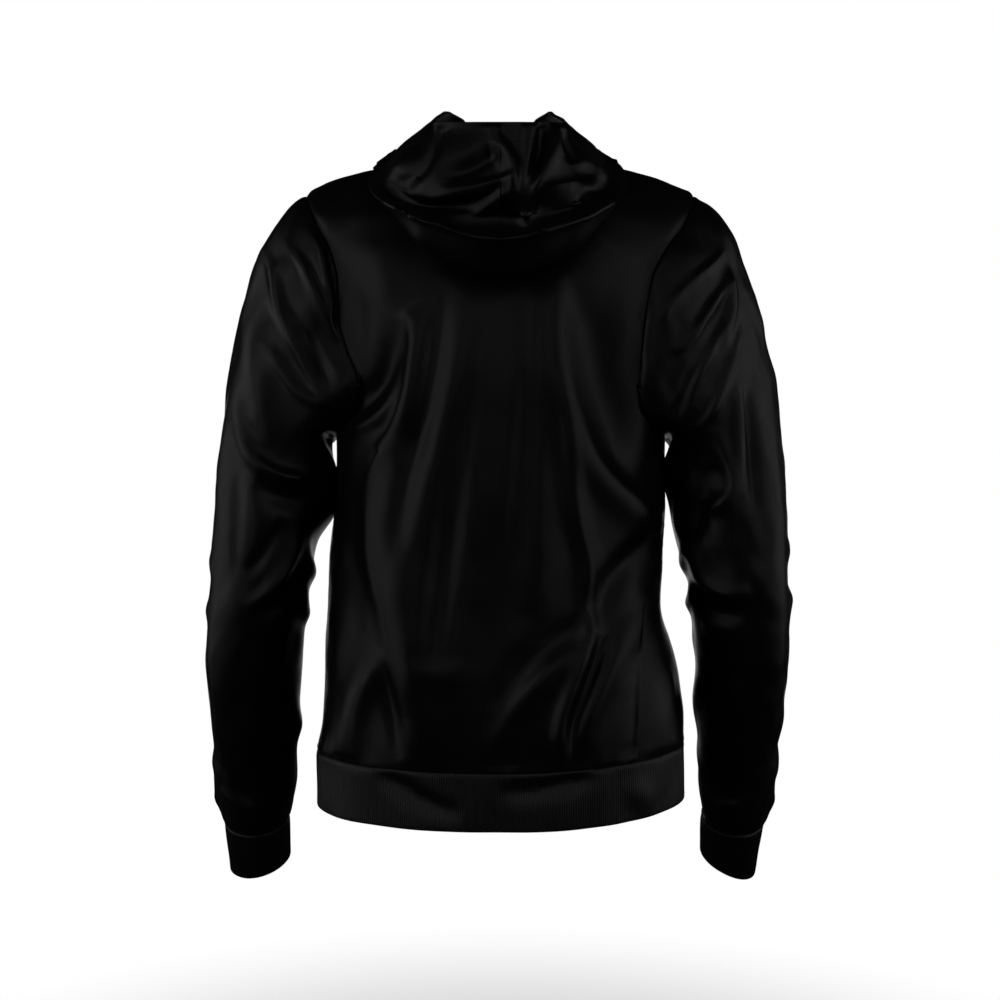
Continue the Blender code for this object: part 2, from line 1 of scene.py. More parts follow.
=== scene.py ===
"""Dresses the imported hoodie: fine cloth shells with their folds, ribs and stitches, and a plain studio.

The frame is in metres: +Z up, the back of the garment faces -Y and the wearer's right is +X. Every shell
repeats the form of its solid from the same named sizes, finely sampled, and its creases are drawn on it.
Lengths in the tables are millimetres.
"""

import logging
from dataclasses import dataclass, field
from enum import Enum

import bpy
import numpy as np
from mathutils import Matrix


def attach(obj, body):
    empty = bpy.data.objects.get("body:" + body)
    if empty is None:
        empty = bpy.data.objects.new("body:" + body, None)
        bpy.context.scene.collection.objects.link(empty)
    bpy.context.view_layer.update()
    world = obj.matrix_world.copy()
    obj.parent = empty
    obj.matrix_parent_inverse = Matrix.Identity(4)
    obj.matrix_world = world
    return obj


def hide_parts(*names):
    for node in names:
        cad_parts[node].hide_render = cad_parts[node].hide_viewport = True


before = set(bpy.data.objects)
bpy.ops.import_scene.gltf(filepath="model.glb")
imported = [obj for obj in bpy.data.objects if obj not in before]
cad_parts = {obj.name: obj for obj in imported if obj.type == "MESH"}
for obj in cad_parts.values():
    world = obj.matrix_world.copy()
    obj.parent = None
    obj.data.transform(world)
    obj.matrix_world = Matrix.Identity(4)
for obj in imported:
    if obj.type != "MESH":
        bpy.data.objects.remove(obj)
LOG = logging.getLogger("hoodie")
Array = np.ndarray
MM = 0.001
DEGREE = np.pi / 180


# ---- Small mathematics ----


def ease(t: Array) -> Array:
    """From 0 to 1 with flat ends: 3t^2 - 2t^3 of t held between 0 and 1."""
    t = np.clip(t, 0.0, 1.0)
    return t * t * (3 - 2 * t)


def hermite(t: Array, start: Array, leave: Array, end: Array, arrive: Array) -> Array:
    """The cubic that runs from start to end, leaving and arriving along the two given slopes.

    Args:
        t: where along the cubic, from 0 to 1.
        start: value at 0.
        leave: slope at 0.
        end: value at 1.
        arrive: slope at 1.

    Returns:
        (1+2t)(1-t)^2 start + t(1-t)^2 leave + t^2(3-2t) end + t^2(t-1) arrive.
    """
    back = (1 - t) ** 2
    return ((1 + 2 * t) * back * start + t * back * leave + t * t * (3 - 2 * t) * end
            + t * t * (t - 1) * arrive)


def smooth(at: Array, knots: Array, values: Array, level_start: bool = False) -> Array:
    """Values read between rising knots along a cubic that never swings past them.

    Args:
        at: where to read.
        knots: rising positions.
        values: the value at each knot.
        level_start: whether the curve leaves its first knot level.

    Returns:
        A Hermite curve whose inner slopes are the harmonic means of the slopes beside them.
    """
    knots, values = np.asarray(knots, float), np.asarray(values, float)
    steps = np.diff(knots)
    slopes = np.diff(values) / steps
    product, total = slopes[:-1] * slopes[1:], slopes[:-1] + slopes[1:]
    turning = product <= 0
    inner = np.where(turning, 0.0, 2 * product / np.where(turning, 1.0, total))
    tangents = np.concatenate([slopes[:1], inner, slopes[-1:]])
    if level_start:
        tangents[0] = 0.0
    at = np.clip(at, knots[0], knots[-1])
    span = np.clip(np.searchsorted(knots, at, side="right") - 1, 0, len(steps) - 1)
    t = (at - knots[span]) / steps[span]
    return hermite(t, values[span], steps[span] * tangents[span], values[span + 1],
                   steps[span] * tangents[span + 1])


def spline(points: Array, samples: int) -> Array:
    """A curve through the given rows, by chords' square roots.

    Args:
        points: rows of points, the first axis running along the curve.
        samples: steps to each span.

    Returns:
        Rows along the curve, both ends included.
    """
    gap = np.maximum(np.linalg.norm(np.diff(points, axis=0), axis=-1) ** 0.5, 1e-4)
    at = np.concatenate([np.zeros((1,) + gap.shape[1:]), np.cumsum(gap, axis=0)])[..., None]
    weight = np.diff(at, axis=0)
    slope = np.diff(points, axis=0) / weight
    inner = (slope[:-1] * weight[1:] + slope[1:] * weight[:-1]) / (weight[1:] + weight[:-1])
    tangent = np.concatenate([slope[:1], inner, slope[-1:]])
    t = (np.arange(samples) / samples).reshape((1, samples) + (1,) * (points.ndim - 1))
    rows = hermite(t, points[:-1, None], (weight * tangent[:-1])[:, None], points[1:, None],
                   (weight * tangent[1:])[:, None])
    return np.concatenate([rows.reshape((-1,) + points.shape[1:]), points[-1:]])


def unit_vectors(vectors: Array) -> Array:
    """The vectors, each at length 1."""
    return vectors / np.maximum(np.linalg.norm(vectors, axis=-1, keepdims=True), 1e-12)


# ---- Names for the sides of things ----


class Side(Enum):
    """The wearer's left or right."""

    LEFT = -1
    RIGHT = 1

    @property
    def word(self) -> str:
        """The side's name as the nodes spell it."""
        return self.name.lower()


class Facing(Enum):
    """The way from which a crease is drawn: the direction that looks at the viewer, and the level axis."""

    BACK = ((0.0, -1.0, 0.0), 0)
    FRONT = ((0.0, 1.0, 0.0), 0)
    LEFT = ((-1.0, 0.0, 0.0), 1)
    RIGHT = ((1.0, 0.0, 0.0), 1)

    @property
    def towards(self) -> Array:
        """The unit vector to the viewer."""
        return np.array(self.value[0])

    @property
    def level_axis(self) -> int:
        """The axis along which a crease's first column is measured: 0 is X and 1 is Y."""
        return self.value[1]


# ---- The form, from the same sizes as the solids ----


@dataclass(frozen=True)
class BodyForm:
    """The stack of rounded sections that the body's panels lie on.

    Each section is |x/half|^n + |y/deep|^n = 1, with its own reach to the left, right, back and front.
    """

    squareness: float = 2.3
    hem_seam: float = -0.598
    hem: float = -0.654
    hem_rise_left: float = 0.006
    hem_rise_right: float = 0.014
    hem_rise_bend: float = 2.2
    underarm: float = -0.273
    shoulder_tip: float = -0.021
    neck_side: float = 0.018
    back_neck: float = -0.004
    front_neck: float = -0.068
    back_neck_bend: float = 2.2
    front_neck_bend: float = 2.6
    armhole_cluster: float = 1.5
    border_power: int = 3
    #            height  left right back front
    sections: tuple = (
        (-660, 190, 191, 121, 117),
        (-598, 190, 191, 122, 118),
        (-560, 184, 191, 125, 121),
        (-520, 181, 186, 125, 122),
        (-480, 180, 175, 123, 122),
        (-440, 178, 166, 121, 121),
        (-400, 177, 168, 121, 122),
        (-340, 172, 171, 123, 124),
        (-273, 169, 169, 125, 127),
        (-215, 176, 176, 127, 127),
        (-150, 198, 198, 123, 121),
        (-100, 214, 214, 113, 109),
        (-60, 220, 220, 98, 96),
        (-33, 211, 211, 84, 83),
        (-21, 200, 200, 76, 77),
        (-10, 179, 179, 68, 71),
        (-2, 153, 153, 62, 66),
        (5, 128, 128, 57, 60),
        (12, 107, 107, 52, 54),
        (18, 90, 90, 47, 47),
    )
    #            height  back_left back_right front_left front_right
    armholes: tuple = (
        (-273, 169, 169, 169, 169),
        (-262, 156, 152, 150, 150),
        (-245, 144, 140, 138, 138),
        (-220, 139, 137, 133, 133),
        (-185, 152, 139, 136, 136),
        (-150, 160, 143, 143, 143),
        (-120, 160, 148, 151, 151),
        (-90, 167, 162, 162, 162),
        (-60, 183, 184, 179, 179),
        (-21, 200, 200, 200, 200),
    )
    #            height  left right, in degrees from the middle of the back
    side_seams: tuple = (
        (-660, 95, 45),
        (-598, 95, 45),
        (-540, 94, 47),
        (-460, 92, 58),
        (-380, 91, 76),
        (-320, 90, 88),
        (-273, 90, 90),
    )

    @staticmethod
    def _read(table: tuple, column: int, z: Array, unit: float = MM) -> Array:
        """A numbered column of one of the tables above, at heights in metres."""
        return smooth(z, [row[0] * MM for row in table], [row[column] * unit for row in table])

    def half(self, side: Side, z: Array) -> Array:
        """Half the width of the section at these heights."""
        return self._read(self.sections, 1 if side is Side.LEFT else 2, z)

    def deep(self, behind: Array, z: Array) -> Array:
        """How far the section reaches to the back where `behind` holds, and to the front elsewhere."""
        return np.where(behind, self._read(self.sections, 3, z), self._read(self.sections, 4, z))

    def point(self, across: Array, z: Array, behind: Array) -> Array:
        """The points of the form at these places across and up: y = -+ deep (1 - |x/half|^n)^(1/n)."""
        reach = np.where(across < 0, self.half(Side.LEFT, z), self.half(Side.RIGHT, z))
        share = np.clip(np.abs(across) / reach, 0.0, 1.0)
        y = self.deep(behind, z) * (1 - share**self.squareness) ** (1 / self.squareness)
        return np.stack([across, np.where(behind, -y, y), z], axis=-1)

    def normal(self, points: Array, side: Side) -> Array:
        """Level unit vectors square to the section: the gradient of |x/half|^n + |y/deep|^n."""
        half = self.half(side, points[..., 2])
        deep = self.deep(points[..., 1] < 0, points[..., 2])
        across, along = points[..., 0] / half, points[..., 1] / deep
        power = self.squareness - 1
        return unit_vectors(np.stack([np.sign(across) * np.abs(across) ** power / half,
                                      np.sign(along) * np.abs(along) ** power / deep, 0 * half], axis=-1))

    def lower_half(self, side: Side, behind: bool, columns: int, rows: int) -> Array:
        """Half a panel from the hem seam to the underarm, its columns from the middle to the side seam."""
        heights = np.linspace(self.hem_seam, self.underarm, rows + 1)[:, None]
        seam = self._read(self.side_seams, 1 if side is Side.LEFT else 2, heights, DEGREE)
        angle = np.linspace(0, 1, columns + 1)[None] * (seam if behind else np.pi - seam)
        rise = self.hem_rise_left if side is Side.LEFT else self.hem_rise_right
        share = (self.underarm - heights) / (self.underarm - self.hem_seam)
        z = heights + rise * np.sin(angle) ** self.hem_rise_bend * share
        across = side.value * np.sin(angle) * self.half(side, z)
        return self.point(across, z, (np.cos(angle) > 0) == behind)

    def upper_half(self, side: Side, behind: bool, neck_columns: int, shoulder_columns: int,
                   rows: int) -> Array:
        """Half a panel above the underarm, its columns from the middle by the neck to the armhole."""
        columns = neck_columns + shoulder_columns
        neck = self.back_neck if behind else self.front_neck
        bend = self.back_neck_bend if behind else self.front_neck_bend
        share = np.sin(np.pi / 2 * np.linspace(0, 1, neck_columns + 1))
        neck_top = neck + (self.neck_side - neck) * share**bend
        shoulder_top = np.linspace(self.neck_side, self.shoulder_tip, shoulder_columns + 1)[1:]
        top_z = np.concatenate([neck_top, shoulder_top])
        tip = self.half(side, np.array(self.shoulder_tip))
        top_share = np.concatenate([share * self.half(side, np.array(self.neck_side)),
                                    self.half(side, shoulder_top)]) / tip
        even = np.linspace(0, 1, rows + 1)[1:, None]
        clustered = ((1 - np.cos(np.pi * even)) / 2) ** self.armhole_cluster
        at_border = np.linspace(0, 1, columns + 1)[None] ** self.border_power
        rise = even * (1 - at_border) + clustered * at_border
        z = self.underarm + (top_z[None] - self.underarm) * rise
        column = (1 if behind else 3) + (side is Side.RIGHT)
        border = self._read(self.armholes, column, z[:, -1:])
        low_share = np.sin(np.pi / 2 * np.linspace(0, 1, columns + 1))[None]
        blend = ease(clustered)
        across = side.value * border * (low_share * (1 - blend) + top_share[None] * blend)
        return self.point(across, z, np.full(z.shape, behind))

    def armhole(self, side: Side, rows: int) -> Array:
        """Points round an armhole, from the shoulder tip down the back to the underarm and up the front."""
        rise = ((1 - np.cos(np.pi * np.linspace(0, 1, rows + 1))) / 2) ** self.armhole_cluster
        z = self.underarm + (self.shoulder_tip - self.underarm) * rise
        halves = []
        for behind in (True, False):
            column = (1 if behind else 3) + (side is Side.RIGHT)
            across = side.value * self._read(self.armholes, column, z)
            halves.append(self.point(across, z, np.full(z.shape, behind)))
        return np.concatenate([halves[0][::-1], halves[1][1:-1]])

    def neck(self, side: Side, columns: int) -> Array:
        """Points of half the neck seam, from the back's middle over the side to the front's middle."""
        share = np.sin(np.pi / 2 * np.linspace(0, 1, columns + 1))
        across = side.value * share * self.half(side, np.array(self.neck_side))
        halves = []
        for behind, low, bend in ((True, self.back_neck, self.back_neck_bend),
                                  (False, self.front_neck, self.front_neck_bend)):
            z = low + (self.neck_side - low) * share**bend
            halves.append(self.point(across, z, np.full(z.shape, behind)))
        return np.concatenate([halves[0], halves[1][-2::-1]])


# ---- Creases and unevenness ----


@dataclass(frozen=True)
class Crease:
    """One soft ridge, or a trough where its rise is below zero.

    `path` holds (across, height, rise) in millimetres, from its top down. `left` and `right` say how far
    each flank reaches, as seen with the path running down. The profile is rise * exp(-(d / flank)^2).
    """

    left: float
    right: float
    path: list
    samples: int = 8
    reach_in_flanks: float = 2.6

    def lift(self, plane: Array) -> Array:
        """How far the crease lifts the cloth at these places of its plane, all in metres."""
        line = spline(np.array(self.path, float) * MM, self.samples)
        reach = self.reach_in_flanks * max(self.left, self.right) * MM
        low, high = line[:, :2].min(axis=0) - reach, line[:, :2].max(axis=0) + reach
        near = ((plane > low) & (plane < high)).all(axis=-1)
        lift = np.zeros(plane.shape[:-1])
        places = plane[near][:, None]
        if not len(places):
            return lift
        start, run = line[None, :-1, :2], np.diff(line[:, :2], axis=0)[None]
        t = np.clip(((places - start) * run).sum(-1) / (run**2).sum(-1), 0, 1)
        gap = places - start - t[..., None] * run
        distance = (gap**2).sum(-1)
        nearest = distance.argmin(axis=1)
        row = np.arange(len(nearest))
        distance, t, gap, run = distance[row, nearest], t[row, nearest], gap[row, nearest], run[0, nearest]
        to_right = run[:, 0] * gap[:, 1] - run[:, 1] * gap[:, 0] > 0
        flank = np.where(to_right, self.right, self.left) * MM
        rise = line[nearest, 2] * (1 - t) + line[nearest + 1, 2] * t
        lift[near] = rise * np.exp(-distance / flank**2)
        return lift


@dataclass(frozen=True)
class Creases:
    """Creases drawn from one side of the garment. They die away where the cloth turns from that side.

    Each row of `creases` is a crease's left and right flank, and then the points of its path.
    """

    facing: Facing
    creases: tuple
    least: float = 0.05
    full: float = 0.5

    def lift(self, points: Array, normals: Array) -> Array:
        """How far these creases lift the cloth at points of the form with these normals."""
        plane = points[..., [self.facing.level_axis, 2]]
        weight = ease((normals @ self.facing.towards - self.least) / (self.full - self.least))
        total = np.zeros(points.shape[:-1])
        for left, right, *path in self.creases:
            total += Crease(left, right, path).lift(plane)
        return total * weight


@dataclass(frozen=True)
class Unevenness:
    """Gentle waves that no two places share: a sum of sines with seeded directions and phases."""

    seed: int
    rise: float
    length: float
    waves: int = 14
    upright: float = 0.45
    spread: tuple = (0.6, 1.7)

    def lift(self, points: Array) -> Array:
        """How far the waves lift the cloth, in metres, at these points."""
        chance = np.random.default_rng(self.seed)
        ways = unit_vectors(chance.normal(size=(self.waves, 3)) * np.array([1.0, 1.0, self.upright]))
        lengths = self.length * MM * chance.uniform(*self.spread, self.waves)
        phases = chance.uniform(0, 2 * np.pi, self.waves)
        total = np.zeros(points.shape[:-1])
        for way, length, phase in zip(ways, lengths, phases):
            total += np.sin(2 * np.pi * (points @ way) / length + phase)
        return total * self.rise * MM / np.sqrt(self.waves / 2)


@dataclass(frozen=True)
class Seam:
    """How cloth draws in along a seam: a groove, with uneven small puckers beside it."""

    depth: float = 0.5
    width: float = 1.4
    pucker: float = 0.35
    pucker_reach: float = 11.0
    pucker_pitch: float = 13.0
    pucker_waves: int = 5
    pucker_spread: tuple = (0.6, 1.8)
    pucker_start: float = 3.0
    calm: float = 9.0

    def groove(self, distance: Array) -> Array:
        """The groove's depth, below zero, at these distances from the seam."""
        return -self.depth * MM * np.exp(-((distance / (self.width * MM)) ** 2))

    def puckers(self, distance: Array, along: Array, seed: int) -> Array:
        """Short waves along the seam that fade away from it."""
        chance = np.random.default_rng(seed)
        wave = np.zeros(along.shape)
        for _ in range(self.pucker_waves):
            pitch = self.pucker_pitch * MM * chance.uniform(*self.pucker_spread)
            wave += np.sin(2 * np.pi * along / pitch + chance.uniform(0, 2 * np.pi))
        fade = np.exp(-distance / (self.pucker_reach * MM)) * ease(distance / (self.pucker_start * MM))
        return self.pucker * MM * wave * fade / 2

    def calmed(self, distance: Array) -> Array:
        """How much of a crease is left at these distances: none on the seam, all of it further in."""
        return ease(distance / (self.calm * MM))


# ---- Grids of cloth ----


@dataclass
class ClothGrid:
    """A grid of points on a surface: rows by columns, and the columns may close into a tube."""

    points: Array
    tube: bool = False

    def normals(self) -> Array:
        """Outward unit normals: along the columns crossed with up the rows."""
        rows = np.gradient(self.points, axis=0)
        if self.tube:
            columns = np.roll(self.points, -1, axis=1) - np.roll(self.points, 1, axis=1)
        else:
            columns = np.gradient(self.points, axis=1)
        return unit_vectors(np.cross(columns, rows))

    def along_rows(self) -> Array:
        """How far each point is along its row from the first column."""
        steps = np.linalg.norm(np.diff(self.points, axis=1), axis=-1)
        return np.concatenate([np.zeros((len(steps), 1)), np.cumsum(steps, axis=1)], axis=1)

    def up_columns(self) -> Array:
        """How far each point is up its column from the first row."""
        steps = np.linalg.norm(np.diff(self.points, axis=0), axis=-1)
        return np.concatenate([np.zeros((1, steps.shape[1])), np.cumsum(steps, axis=0)])

    def raised(self, lift: Array, normals: Array) -> "ClothGrid":
        """The grid with each point moved this far along its normal."""
        return ClothGrid(self.points + lift[..., None] * normals, self.tube)

    def faces(self) -> Array:
        """Four corners of each face, turning so that the faces look outwards."""
        rows, columns = self.points.shape[:2]
        index = np.arange(rows * columns).reshape(rows, columns)
        right = np.roll(index, -1, axis=1) if self.tube else index[:, 1:]
        left = index if self.tube else index[:, :-1]
        return np.stack([left[:-1], right[:-1], right[1:], left[1:]], axis=-1).reshape(-1, 4)


def make_piece(name: str, points: Array, faces: Array, finish: bpy.types.Material,
               lengthwise: Array, crosswise: Array) -> bpy.types.Object:
    """A named mesh object with a UV map in metres of cloth.

    Args:
        name: the piece's name.
        points: its vertices, one a row.
        faces: the corners of its faces.
        finish: its material.
        lengthwise: how far each vertex lies along the knit's length.
        crosswise: how far each vertex lies across the knit.

    Returns:
        The new object, at the origin.
    """
    mesh = bpy.data.meshes.new(name)
    mesh.from_pydata(points.reshape(-1, 3), [], faces.tolist())
    corners = np.empty(len(mesh.loops), np.int32)
    mesh.loops.foreach_get("vertex_index", corners)
    places = np.stack([crosswise.reshape(-1), lengthwise.reshape(-1)], axis=-1)[corners]
    mesh.uv_layers.new(name="cloth").data.foreach_set("uv", places.reshape(-1).astype(np.float32))
    mesh.materials.append(finish)
    mesh.shade_smooth()
    sides = np.empty(len(mesh.loops), np.int32)
    mesh.loops.foreach_get("edge_index", sides)
    # Cut edges stay sharp, so that the wall's rim doesn't darken the seams.
    mesh.edges.foreach_set("use_edge_sharp", np.bincount(sides, minlength=len(mesh.edges)) == 1)
    piece = bpy.data.objects.new(name, mesh)
    bpy.context.scene.collection.objects.link(piece)
    return piece


def thickened(piece: bpy.types.Object, thickness: float) -> bpy.types.Object:
    """The piece with a wall of this thickness behind its outer side."""
    solid = piece.modifiers.new("cloth_wall", "SOLIDIFY")
    solid.thickness = thickness
    solid.offset = -1.0
    solid.use_rim = True
    return piece


# ---- Stitches ----


def inset_line(grid: ClothGrid, measure: Array, distance: float) -> tuple:
    """The line on a grid at this distance from its first row, read between the rows.

    Args:
        grid: the shaped cloth.
        measure: how far each point is from the first row.
        distance: the line's distance.

    Returns:
        The line's points and its normals.
    """
    low = np.clip((measure > distance).argmax(axis=0) - 1, 0, len(measure) - 2)
    column = np.arange(measure.shape[1])
    before, after = measure[low, column], measure[low + 1, column]
    part = ((distance - before) / np.maximum(after - before, 1e-9))[:, None]
    return tuple(rows[low, column] * (1 - part) + rows[low + 1, column] * part
                 for rows in (grid.points, grid.normals()))


@dataclass(frozen=True)
class Stitches:
    """Rows of short thread loops along seams, all one mesh: each is a lozenge bar with narrowed ends."""

    pitch: float = 3.1
    length: float = 2.3
    width: float = 0.6
    rise: float = 0.35
    ends: tuple = ((-0.5, 0.35), (-0.3, 1.0), (0.3, 1.0), (0.5, 0.35))

    def template(self) -> tuple:
        """One stitch: points (along, across, up) in metres and the corners of its faces."""
        corners = np.array([(0.5, 0.0), (0.0, 1.0), (-0.5, 0.0), (0.0, -1.0)])
        rings = [np.column_stack([np.full(4, at), corners * size]) for at, size in self.ends]
        points = np.concatenate(rings) * np.array([self.length, self.width, self.rise]) * MM
        faces = ClothGrid(np.zeros((4, 4, 3)), tube=True).faces()
        return points, np.concatenate([faces, [(3, 2, 1, 0), (12, 13, 14, 15)]])

    def build(self, name: str, lines: list, finish: bpy.types.Material) -> bpy.types.Object:
        """Lays the stitches on lines of (points, normals): centre + along*run + across*side + up*normal."""
        shape, corners = self.template()
        made = []
        for points, normals in lines:
            at = np.concatenate([[0.0], np.cumsum(np.linalg.norm(np.diff(points, axis=0), axis=1))])
            count = int(at[-1] / (self.pitch * MM))
            centre_at = (np.arange(count) + 0.5) * self.pitch * MM

            def read_at(rows: Array, where: Array, at: Array = at) -> Array:
                """The rows read at these distances along the line."""
                return np.stack([np.interp(where, at, column) for column in rows.T], axis=-1)

            half = self.pitch * MM / 2
            run = unit_vectors(read_at(points, centre_at + half) - read_at(points, centre_at - half))
            up = unit_vectors(read_at(normals, centre_at))
            side = np.cross(up, run)
            centre = read_at(points, centre_at)[:, None]
            made.append(centre + shape[:, :1] * run[:, None] + shape[:, 1:2] * side[:, None]
                        + shape[:, 2:] * up[:, None])
        places = np.concatenate(made)
        faces = (corners[None] + len(shape) * np.arange(len(places))[:, None, None]).reshape(-1, 4)
        lengthwise = np.broadcast_to(shape[:, 0], places.shape[:2])
        crosswise = np.broadcast_to(shape[:, 1], places.shape[:2])
        piece = make_piece(name, places, faces, finish, lengthwise, crosswise)
        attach(piece, "root")
        return piece


# ---- Finishes ----


def add_node(tree: bpy.types.NodeTree, kind: str, inputs: dict | None = None,
             **settings: object) -> bpy.types.Node:
    """A node of this kind with its settings; each input is a value, or a socket that it is linked from."""
    node = tree.nodes.new(f"ShaderNode{kind}")
    for key, value in settings.items():
        setattr(node, key, value)
    for key, value in (inputs or {}).items():
        if isinstance(value, bpy.types.NodeSocket):
            tree.links.new(value, node.inputs[key])
        else:
            node.inputs[key].default_value = value
    return node


def matt_paint(name: str, shade: float) -> bpy.types.Material:
    """A grey with no gloss."""
    made = bpy.data.materials.new(name)
    made.use_nodes = True
    shader = made.node_tree.nodes["Principled BSDF"]
    shader.inputs["Base Color"].default_value = (shade, shade, shade, 1.0)
    shader.inputs["Roughness"].default_value = 1.0
    shader.inputs["Specular IOR Level"].default_value = 0.0
    return made


@dataclass(frozen=True)
class KnitFinish:
    """Black knit: a dark body colour, a soft satin gloss and the stitch of the knit.

    The knit is a bump from the piece's own UV map, which is in metres: columns of loops `wale` apart,
    rows `course` apart, slanted to each side of a wale.
    """

    name: str
    colour: tuple = (0.0006, 0.0006, 0.00063)
    pale: tuple = (0.0012, 0.0012, 0.00125)
    roughness: float = 0.285
    specular: float = 0.05
    wale: float = 0.0011
    course: float = 0.0008
    knit_depth: float = 0.00006
    knit_strength: float = 0.5
    slant: float = 1.2
    course_share: float = 0.5
    cloud_scale: float = 26.0
    cloud_detail: float = 4.0

    def material(self) -> bpy.types.Material:
        """Builds the node tree."""
        made = bpy.data.materials.new(self.name)
        made.use_nodes = True
        tree = made.node_tree
        shader = tree.nodes["Principled BSDF"]
        shader.inputs["Roughness"].default_value = self.roughness
        shader.inputs["Specular IOR Level"].default_value = self.specular
        uv = add_node(tree, "UVMap", uv_map="cloth")
        relief = {"Strength": self.knit_strength, "Distance": self.knit_depth, "Height": self._knit(tree, uv)}
        bump = add_node(tree, "Bump", relief)
        tree.links.new(bump.outputs["Normal"], shader.inputs["Normal"])
        place = add_node(tree, "TexCoord")
        cloud = add_node(tree, "TexNoise", {"Scale": self.cloud_scale, "Detail": self.cloud_detail,
                                            "Vector": place.outputs["Object"]})
        tints = {"A": (*self.colour, 1.0), "B": (*self.pale, 1.0), "Factor": cloud.outputs["Fac"]}
        mix = add_node(tree, "Mix", tints, data_type="RGBA")
        tree.links.new(mix.outputs["Result"], shader.inputs["Base Color"])
        return made

    def _knit(self, tree: bpy.types.NodeTree, uv: bpy.types.Node) -> bpy.types.NodeSocket:
        """The height of the loops: a round wale times a course that slants away from the wale's middle."""
        split = add_node(tree, "SeparateXYZ", {"Vector": uv.outputs["UV"]})

        def math(kind: str, *values: object) -> bpy.types.NodeSocket:
            """One Math node on sockets or numbers."""
            return add_node(tree, "Math", dict(enumerate(values)), operation=kind).outputs[0]

        wales = math("MULTIPLY", split.outputs["X"], 1 / self.wale)
        courses = math("MULTIPLY", split.outputs["Y"], 1 / self.course)
        fold = math("PINGPONG", wales, 0.5)
        round_wale = math("SINE", math("MULTIPLY", fold, 2 * np.pi))
        slanted = math("ADD", courses, math("MULTIPLY", fold, self.slant))
        loop = math("SINE", math("MULTIPLY", slanted, 2 * np.pi))
        return math("ADD", math("ABSOLUTE", round_wale), math("MULTIPLY", loop, self.course_share))


# ---- Body panels ----


@dataclass
class BodyPanel:
    """The back or the front: a fine grid over the form, its folds, and its seams drawn in."""

    name: str
    behind: bool
    form: BodyForm
    finish: bpy.types.Material
    folds: tuple
    neck_columns: int
    shoulder_columns: int
    lower_rows: int
    upper_rows: int
    cut: tuple
    cut_area: float
    seed: int
    wall: float = 0.0018
    seam: Seam = Seam()
    waves: tuple = ((0.9, 95), (0.28, 34))
    stitch_inset: float = 2.6
    lines: list = field(default_factory=list)

    def base(self) -> ClothGrid:
        """The plain form: rows from the hem seam up, columns from left to right as it is looked at."""
        halves = []
        columns = self.neck_columns + self.shoulder_columns
        for side in Side:
            lower = self.form.lower_half(side, self.behind, columns, self.lower_rows)
            upper = self.form.upper_half(side, self.behind, self.neck_columns, self.shoulder_columns,
                                         self.upper_rows)
            halves.append(np.concatenate([lower, upper]))
        points = np.concatenate([halves[0][:, :0:-1], halves[1]], axis=1)
        return ClothGrid(points if self.behind else points[:, ::-1])

    def build(self) -> bpy.types.Object:
        """Makes the panel with its folds and seams."""
        grid = self.base()
        normals = grid.normals()
        along, up = grid.along_rows(), grid.up_columns()
        side_gap = np.minimum(along, along[:, -1:] - along)
        end_gap = np.minimum(up, up[-1:] - up)
        gap = np.minimum(side_gap, end_gap)
        lift = sum((folds.lift(grid.points, normals) for folds in self.folds), np.zeros(gap.shape))
        for step, (rise, length) in enumerate(self.waves):
            lift += Unevenness(self.seed + step, rise, length).lift(grid.points)
        lift *= self.seam.calmed(gap)
        lift += self.seam.groove(gap)
        lift += (self.seam.puckers(side_gap, up, self.seed + 2)
                 + self.seam.puckers(end_gap, along, self.seed + 3))
        shaped = grid.raised(lift, normals)
        self.lines.append(inset_line(shaped, up, self.stitch_inset * MM))
        across = ClothGrid(shaped.points[self.lower_rows:].transpose(1, 0, 2))
        upper = along[self.lower_rows:].T
        self.lines.append(self._outward(inset_line(across, upper, self.stitch_inset * MM), shaped))
        turned = ClothGrid(across.points[::-1])
        far_side = (upper[-1:] - upper)[::-1]
        self.lines.append(self._outward(inset_line(turned, far_side, self.stitch_inset * MM), shaped))
        middle = along - along[:, along.shape[1] // 2][:, None]
        piece = make_piece(self.name, shaped.points, shaped.faces(), self.finish, up, middle)
        return thickened(piece, self.wall)

    @staticmethod
    def _outward(line: tuple, grid: ClothGrid) -> tuple:
        """The line with its normals turned away from the middle of the body."""
        points, normals = line
        middle = grid.points.mean(axis=(0, 1)) * np.array([1.0, 0.0, 1.0])
        away = (normals * (points - middle)).sum(axis=-1) < 0
        return points, np.where(away[:, None], -normals, normals)

    def dress(self) -> bpy.types.Object:
        """Builds the piece, hangs it on the root and hides the part that it stands for."""
        piece = self.build()
        node = self.name.replace("_cloth", "")
        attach(piece, "root")
        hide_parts(node)
        return piece


# ---- Sleeves and cuffs ----


